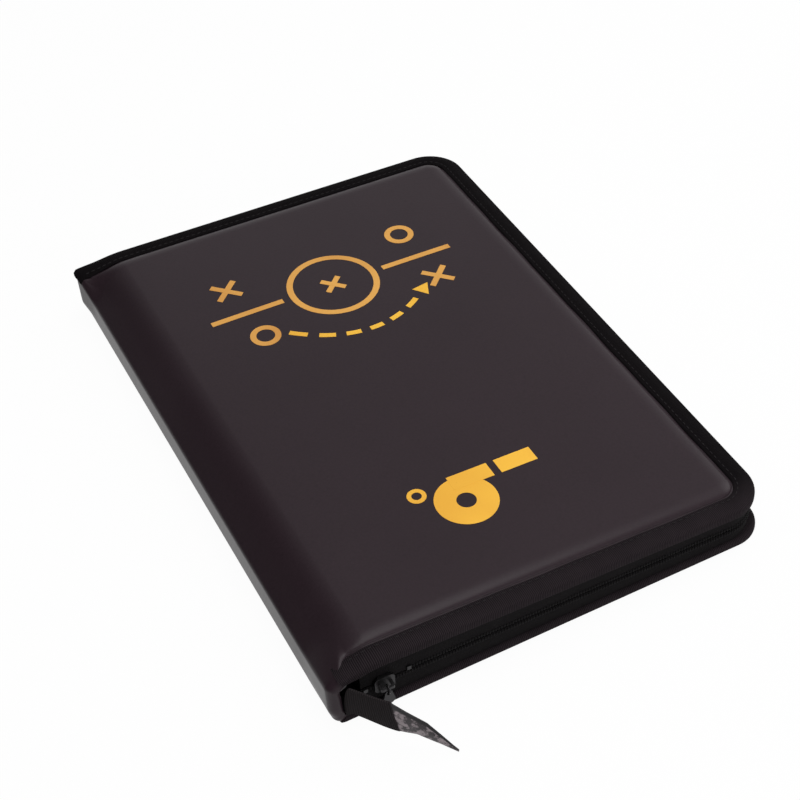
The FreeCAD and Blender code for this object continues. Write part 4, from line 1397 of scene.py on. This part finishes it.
def ring(centre, radius, width):
    """Round band about a centre."""
    turns = np.linspace(0, 2 * math.pi, 48, endpoint=False)
    return stroke(np.array(centre) + radius * np.stack([np.cos(turns), np.sin(turns)], axis=1), width, True)


def cross(centre, reach, width):
    """Two bands crossing at a centre."""
    strokes = []
    for slope in (1, -1):
        arm = np.array([reach, slope * reach])
        strokes.append(line(np.array(centre) - arm, np.array(centre) + arm, width))
    return strokes


def bent_line(handles, width, dashes):
    """Dashes along a bent run, ending in an arrow head."""
    run = np.concatenate([[handles[0]], curve_points(handles, RUN_STEPS)])
    shapes = []
    each = RUN_STEPS / dashes
    for dash in range(dashes):
        first = int(dash * each)
        shapes.append(stroke(run[first:first + int(each * DASH_SHARE) + 1], width))
    tip = run[-1]
    way = (run[-1] - run[-6]) / np.linalg.norm(run[-1] - run[-6])
    aside = np.array([-way[1], way[0]])
    head = np.linspace(0, 1, 4)[:, None]
    left = tip + aside * ARROW_HALF * (1 - head) + way * ARROW_LENGTH * head
    right = tip - aside * ARROW_HALF * (1 - head) + way * ARROW_LENGTH * head
    faces = [(place, place + 4, place + 5, place + 1) for place in range(3)]
    shapes.append((np.concatenate([left, right]), faces))
    return shapes


def foil_piece(name, shapes, material):
    """Foil laid on the front panel, following its swell."""
    points = []
    faces = []
    lifts = []
    for number, (shape, quads) in enumerate(shapes):
        faces += [tuple(len(points) + place for place in quad) for quad in quads]
        points += [tuple(point) for point in shape]
        lifts += [FOIL + FOIL_STEP * (number % 3)] * len(shape)
    flat = np.array(points)
    along = flat[:, 0] + FRONT_OFFSET
    height = panel_crown(along, flat[:, 1], FRONT_FORE, PANEL_CROWN) + np.array(lifts)
    piece = new_piece(name, FRONT(along, flat[:, 1], height), faces, [material])
    face_out(piece, FRONT, FRONT_FORE)
    thicken(piece, 2 * FOIL)
    apply_modifiers(piece, 40)
    dress(piece, "front_cover", "leather")


def foil():
    """Gold play diagram above and a whistle below."""
    left, right = HALFWAY_ENDS
    gold = [ring(DIAGRAM, CENTRE_RING, DIAGRAM_LINE)]
    gold += [line((first, DIAGRAM[1]), (last, DIAGRAM[1]), DIAGRAM_LINE) for first, last in (left, right)]
    for place in CROSSES:
        gold += cross(place, MARK_REACH, MARK_LINE)
    gold += cross(DIAGRAM, CENTRE_REACH, RUN_LINE)
    gold += [ring(place, MARK_REACH, MARK_LINE) for place in RINGS]
    foil_piece("foil_play_diagram", gold, "foil")
    foil_piece("foil_play_run", bent_line(RUN_HANDLES, RUN_LINE, RUN_DASHES), "bright_foil")
    whistle = [ring((104, -102), 10.4, 10.9), ring((84, -88.5), 3.7, 2.3)]
    whistle += [line((102, -89), (124, -89), 9.4), line((128, -89), (148, -89), 9.4)]
    foil_piece("foil_whistle", whistle, "bright_foil")


# Counters and ball

COUNTER_SEGMENTS = 48
PEN_SEGMENTS = 40


def lathe(profile, segments):
    """Points and quads of a closed profile (radius, height) turned about its axis."""
    profile = np.array(profile, float)
    turns = np.linspace(0, 2 * math.pi, segments, endpoint=False)
    points = np.stack([np.outer(np.cos(turns), profile[:, 0]), np.outer(np.sin(turns), profile[:, 0]),
                       np.broadcast_to(profile[:, 1], (segments, len(profile)))], axis=-1)
    index = np.arange(segments * len(profile)).reshape(segments, len(profile))
    index = np.concatenate([index, index[:1]], axis=0)
    index = np.concatenate([index, index[:, :1]], axis=1)
    return points.reshape(-1, 3), grid_faces(index)


def counter_profile(radius, height, magnet):
    """Counter with a rim, a shallow dish on top and a pocket for its magnet underneath."""
    dish = height - COUNTER_DISH
    profile = [(0, MAGNET_POCKET), (magnet, MAGNET_POCKET), (magnet, 0), (radius - 0.4, 0), (radius, 0.4)]
    profile += [(radius, 1.0), (radius - 0.18, 1.15), (radius - 0.18, 1.55), (radius, 1.7)]
    profile += [(radius, height - 0.6), (radius - 0.2, height - 0.15), (radius - 0.6, height)]
    profile += [(radius - 1.3, height), (radius - 1.55, dish), (0, dish)]
    return profile


def number_shape(text, size):
    """Flat faces of a figure, centred, that high."""
    curve = bpy.data.curves.new("figure", "FONT")
    curve.body = text
    curve.resolution_u = 3
    holder = bpy.data.objects.new("figure", curve)
    bpy.context.scene.collection.objects.link(holder)
    graph = bpy.context.evaluated_depsgraph_get()
    mesh = bpy.data.meshes.new_from_object(holder.evaluated_get(graph))
    points = np.array([tuple(vertex.co) for vertex in mesh.vertices])
    faces = [tuple(face.vertices) for face in mesh.polygons]
    bpy.data.objects.remove(holder)
    bpy.data.curves.remove(curve)
    bpy.data.meshes.remove(mesh)
    low, high = points.min(axis=0), points.max(axis=0)
    points = (points - (low + high) / 2) * (size / (high[1] - low[1]))
    return points, faces


def ball_patches():
    """Five-sided patch in the middle of the ball counter and parts of five more round it."""
    def patch(centre, size, turn):
        angles = turn + np.linspace(0, 2 * math.pi, 5, endpoint=False)
        return [(centre[0] + size * math.cos(angle), centre[1] + size * math.sin(angle), 0)
                for angle in angles]

    points = patch((0, 0), 1.25, math.pi / 2)
    faces = [(0, 1, 2, 3, 4)]
    for place in range(5):
        angle = math.pi / 2 + place * 2 * math.pi / 5
        faces.append(tuple(range(len(points), len(points) + 5)))
        points += patch((2.75 * math.cos(angle), 2.75 * math.sin(angle)), 0.62, angle + math.pi)
    return np.array(points), faces


def counters(name, places, body, slot, node, figures, radius, magnet, axes):
    """Counters standing at points of a sheet, with figures on them, or ball patches for None."""
    points = []
    faces = []
    finish = []
    across = np.array([0.0, 1.0, 0.0])
    reading, upright = axes
    profile = counter_profile(radius, COUNTER_HEIGHT, magnet)

    def add(shape, quads, base, material):
        first = len(points)
        turned = base + shape[:, :1] * reading + shape[:, 1:2] * across + shape[:, 2:] * upright
        points.extend(tuple(point) for point in turned)
        faces.extend(tuple(first + place for place in quad) for quad in quads)
        finish.extend([material] * len(quads))

    for base, figure in zip(places, figures):
        add(*lathe(profile, COUNTER_SEGMENTS), base, 0)
        shape, quads = ball_patches() if figure is None else number_shape(figure, FIGURE_HEIGHT)
        shape = shape * (1.0, 1.0, 0.0) + (0, 0, COUNTER_HEIGHT - COUNTER_DISH + FIGURE_RISE)
        add(shape, quads, base, 1)
    print_material = "pen_plastic" if figures[0] is None else "number"
    piece = new_piece(name, points, faces, [slot, print_material], None, 35, finish)
    dress(piece, body, slot, node)


def all_counters():
    """Two teams of eleven, each on its half of the pitch, and the ball."""
    low, high = node_box("home_discs")
    forward_low, forward_high = node_box("home_forward_disc")
    radius = (forward_high[0] - forward_low[0]) / 2
    forward = (forward_low[0] + forward_high[0]) / 2 - SPINE_X
    goal = high[0] - radius - SPINE_X
    inner = -(forward_low[1] + forward_high[1]) / 2
    outer = high[1] - radius
    step = (goal - forward) / 3
    team = [(goal, 0.0)]
    team += [(goal - step, lane) for lane in (-outer, -inner, inner, outer)]
    team += [(goal - 2 * step, lane) for lane in (-outer, -inner, inner, outer)]
    team += [(forward, inner)]
    figures = ["1", "2", "3", "4", "5", "6", "7", "8", "10", "11"]
    sheet = low[2] + COUNTER_GAP
    up = (np.array([1.0, 0, 0]), np.array([0, 0, 1.0]))
    tilt = (np.array([-math.cos(TILT), 0, math.sin(TILT)]), np.array([-math.sin(TILT), 0, -math.cos(TILT)]))

    def home(start, lane):
        return np.array([SPINE_X + start, lane, sheet])

    def away(start, lane):
        x, z = front_point(start, FRONT_SHEET_DEPTH + COUNTER_GAP)
        return np.array([x, lane, z])

    counters("home_counters", [home(*place) for place in team], "back_cover", "disc_home", "home_discs",
             figures, radius, MAGNET_RADIUS, up)
    counters("away_counters", [away(*place) for place in team], "front_cover", "disc_away", "away_discs",
             figures, radius, MAGNET_RADIUS, tilt)
    counters("home_forward_counter", [home(forward, -inner)], "home_forward", "disc_home",
             "home_forward_disc", ["9"], radius, MAGNET_RADIUS, up)
    counters("away_forward_counter", [away(forward, -inner)], "away_forward", "disc_away",
             "away_forward_disc", ["9"], radius, MAGNET_RADIUS, tilt)
    ball_low, ball_high = node_box("ball_disc")
    ball_start = (ball_low[0] + ball_high[0]) / 2 - SPINE_X
    counters("ball_counter", [home(ball_start, 0.0)], "ball", "disc_ball", "ball_disc",
             [None], (ball_high[0] - ball_low[0]) / 2, BALL_MAGNET_RADIUS, up)


# Pen and its loops

def pen_lathe(name, profile, materials, body, slot, node, band=None):
    """Turned piece on the pen's axis: profile points are (radius, y)."""
    low, high = node_box("pen_barrel")
    axis = (low + high) / 2
    shape, quads = lathe(profile, PEN_SEGMENTS)
    points = np.stack([axis[0] + shape[:, 1], shape[:, 2], axis[2] + shape[:, 0]], axis=1)
    finish = None
    if band is not None:
        middles = [np.mean([points[place][1] for place in quad]) for quad in quads]
        finish = [1 if band[0] < middle < band[1] else 0 for middle in middles]
    piece = new_piece(name, points, quads, materials, None, 35, finish)
    outward_normals(piece)
    shade(piece, 35)
    return dress(piece, body, slot, node)


def ribs(radius, start, end, pitch, depth):
    """Profile points of turned grooves between two places."""
    points = []
    for place in np.arange(start, end, pitch):
        points += [(radius, place), (radius - depth, place + 0.3 * pitch)]
        points += [(radius - depth, place + 0.55 * pitch), (radius, place + 0.85 * pitch)]
    return points


def pen():
    """Marker with a white label band, its nib, plug and cap, and the felt eraser on the cap."""
    barrel = [(2.1, -52), (3.5, -52), (3.9, -51.4), (3.9, -30.6), (4.5, -30.1), (4.7, -29.5)]
    barrel += ribs(4.7, -27, -12, 2.5, 0.3)
    barrel += [(4.7, -6), (4.62, -5.7), (4.62, 49.7), (4.7, 50), (4.7, 61), (4.4, 62)]
    barrel += [(3.4, 62), (3.4, -30), (2.1, -30.5)]
    label = (-5.8, 49.8)
    pen_lathe("marker_barrel", barrel, ["pen_plastic", "pen_band"], "pen", "pen_plastic", "pen_barrel", label)
    nib = [(0, -30), (1.95, -30), (1.95, -57), (1.5, -58.8), (0.8, -59.8), (0, -60)]
    pen_lathe("marker_nib", nib, ["felt"], "pen", "felt", "pen_nib")
    plug = [(0, 55.1), (3.3, 55.1), (3.3, 62.05), (4.7, 62.05), (4.7, 64.2)]
    plug += [(4.3, 64.8), (3.6, 65), (3.2, 64.6), (0, 64.6)]
    pen_lathe("marker_end_plug", plug, ["pen_plastic"], "pen", "pen_plastic", "pen_end_plug")
    cap = [(0, -66.2), (4.6, -66.2), (5.2, -65.6), (5.4, -64.8)]
    cap += ribs(5.4, -63, -45, 2.0, 0.25)
    cap += [(5.4, -32.5), (5.2, -32.2), (5.2, -31.6), (5.4, -31.3), (5.2, -30.3)]
    cap += [(4.1, -30.3), (4.0, -31), (4.0, -62), (0, -62)]
    pen_lathe("marker_cap", cap, ["pen_plastic"], "pen_cap", "pen_plastic", "pen_cap")
    eraser = [(0, -71.3), (3.6, -71.2), (4.5, -70.6), (4.8, -69.6)]
    eraser += [(4.72, -68), (4.8, -67), (4.6, -66.3), (0, -66.3)]
    pen_lathe("cap_felt_eraser", eraser, ["felt"], "pen_cap", "felt", "cap_eraser")


def pen_loops():
    """Elastic loops: each a band round the pen with its foot sewn to the lining."""
    low, high = node_box("pen_loops")
    pen_low, pen_high = node_box("pen_barrel")
    axis = (pen_low + pen_high) / 2
    sole = low[2] + 0.02
    points = []
    faces = []
    stitches = []
    for near in (low[1], high[1] - LOOP_WIDTH):
        across = np.linspace(near, near + LOOP_WIDTH, 17)
        rib = 0.07 * np.sin(np.linspace(0, 8 * math.pi, 17))
        turns = np.radians(np.linspace(-72, 252, 46))
        ring_x = axis[0] + LOOP_INNER * np.cos(turns)
        ring_z = axis[2] + LOOP_INNER * np.sin(turns)
        path = [(high[0] - 0.4, sole + LOOP_BAND), (high[0] - 3.0, sole + LOOP_BAND)]
        path += list(zip(ring_x, ring_z))
        path += [(low[0] + 3.0, sole + LOOP_BAND), (low[0] + 0.4, sole + LOOP_BAND)]
        path = np.array(path)
        way = np.gradient(path, axis=0)
        way /= np.linalg.norm(way, axis=1, keepdims=True)
        out = np.stack([way[:, 1], -way[:, 0]], axis=1)
        for side in (0.0, 1.0):
            offset = side * (LOOP_BAND + rib[None, :])
            first = len(points)
            x = path[:, :1] + out[:, :1] * offset
            z = np.maximum(path[:, 1:] + out[:, 1:] * offset, sole)
            grid = np.stack([x, np.broadcast_to(across, x.shape), z], axis=-1)
            points.extend(tuple(point) for point in grid.reshape(-1, 3))
            count = grid.shape[0] * grid.shape[1]
            index = first + np.arange(count).reshape(grid.shape[:2])
            faces += grid_faces(index)
            if side:
                faces += grid_faces(np.stack([rim_of(index) - count, rim_of(index)]))
        ends = (near + 1, near + LOOP_WIDTH - 1)
        for foot in (low[0] + 1.7, high[0] - 1.7):
            stitches.append([(foot, place, sole + LOOP_BAND + 0.1) for place in ends])
    loops = new_piece("elastic_pen_loops", points, faces, ["elastic"], None, 60)
    outward_normals(loops)
    shade(loops, 60)
    dress(loops, "back_cover", "elastic", "pen_loops")
    sewn = bead_row("pen_loop_stitches", stitches, (2.0, 1.6, 0.45, 0.45), (0, 0, 1), "thread")
    dress(sewn, "back_cover", "elastic")


def carried_nodes():
    """Gives every node that stays on show the finish of its slot."""
    for entry in frame["record"]["subparts"]:
        node = frame["nodes"][entry["node"]]
        node.data.materials.clear()
        node.data.materials.append(MATERIALS[entry["material_slot"]])


# Studio

def seen_directly(paint):
    """Two wires, each 1 or 0: rays from the camera, and rays mirrored or bent."""
    rays = paint.node("ShaderNodeLightPath").socket.node.outputs
    camera = Wire(paint.tree, rays["Is Camera Ray"])
    mirrored = Wire(paint.tree, rays["Is Glossy Ray"]).most(Wire(paint.tree, rays["Is Transmission Ray"]))
    return camera, mirrored


def softbox(name, place, size, power):
    """Rectangular lamp that looks at the middle of the table."""
    lamp = bpy.data.lights.new(name, "AREA")
    lamp.shape = "RECTANGLE"
    lamp.size = size[0]
    lamp.size_y = size[1]
    lamp.energy = power
    box = bpy.data.objects.new(name, lamp)
    box.location = place
    box.rotation_euler = (-Vector(place)).to_track_quat("-Z", "Y").to_euler()
    bpy.context.scene.collection.objects.link(box)


def white_floor():
    """White floor that keeps a soft shadow."""
    mesh = bpy.data.meshes.new("floor")
    corners = ((-1, -1), (1, -1), (1, 1), (-1, 1))
    points = [(x * FLOOR_REACH, y * FLOOR_REACH, FLOOR_DROP) for x, y in corners]
    mesh.from_pydata(points, [], [(0, 1, 2, 3)])
    floor = bpy.data.objects.new("floor", mesh)
    bpy.context.scene.collection.objects.link(floor)
    material, paint = new_material("white_floor")
    camera, mirrored = seen_directly(paint)
    plain = paint.node("ShaderNodeBsdfDiffuse", None, {"Color": rgb(0.85, 0.85, 0.85)})
    glow = paint.node("ShaderNodeEmission", None, {"Color": rgb(1, 1, 1), "Strength": 1.0})
    share = (camera * FLOOR_WHITE).most(mirrored)
    both = paint.node("ShaderNodeMixShader", None, {0: share, 1: plain, 2: glow})
    paint.node("ShaderNodeOutputMaterial", None, {"Surface": both})
    mesh.materials.append(material)


def backdrop():
    """White to the camera, softer as fill light, and dim where it shines back from the left."""
    world = bpy.data.worlds.new("studio")
    bpy.context.scene.world = world
    world.use_nodes = True
    world.node_tree.nodes.clear()
    sky = Wire(world.node_tree)
    camera, mirrored = seen_directly(sky)
    right = sky.node("ShaderNodeTexCoord", None, None, "Generated").parts()[0].step(-0.55, 0.15)
    shine = mirrored * (DIM_SIDE + right * (1 - DIM_SIDE))
    strength = camera.most(shine).most(WORLD_FILL * (1 - mirrored))
    white = sky.node("ShaderNodeBackground", None, {"Color": rgb(1, 1, 1), "Strength": strength})
    sky.node("ShaderNodeOutputWorld", None, {"Surface": white})


def photo_camera():
    """Camera at the photograph's place."""
    lens = bpy.data.cameras.new("photo_camera")
    lens.lens = LENS
    lens.sensor_width = 36.0
    camera = bpy.data.objects.new("photo_camera", lens)
    bpy.context.scene.collection.objects.link(camera)
    azimuth = math.radians(VIEW_AZIMUTH)
    elevation = math.radians(VIEW_ELEVATION)
    back = Vector((math.sin(azimuth) * math.cos(elevation), -math.cos(azimuth) * math.cos(elevation),
                   math.sin(elevation)))
    camera.location = (Vector(VIEW_TARGET) + back * VIEW_DISTANCE) * MM
    roll = Matrix.Rotation(math.radians(VIEW_ROLL), 4, "Z").to_quaternion()
    camera.rotation_mode = "QUATERNION"
    camera.rotation_quaternion = (-back).to_track_quat("-Z", "Y") @ roll
    bpy.context.scene.camera = camera
    bpy.context.scene.view_settings.view_transform = "Standard"


def studio():
    """Floor, backdrop, lamps and camera."""
    white_floor()
    backdrop()
    for lamp in SOFTBOXES:
        softbox(*lamp)
    photo_camera()


carried_nodes()
covers()
spine_stiffener()
linings()
zip_tapes()
zip_coils()
zip_tail()
foil()
all_counters()
pen()
pen_loops()
studio()
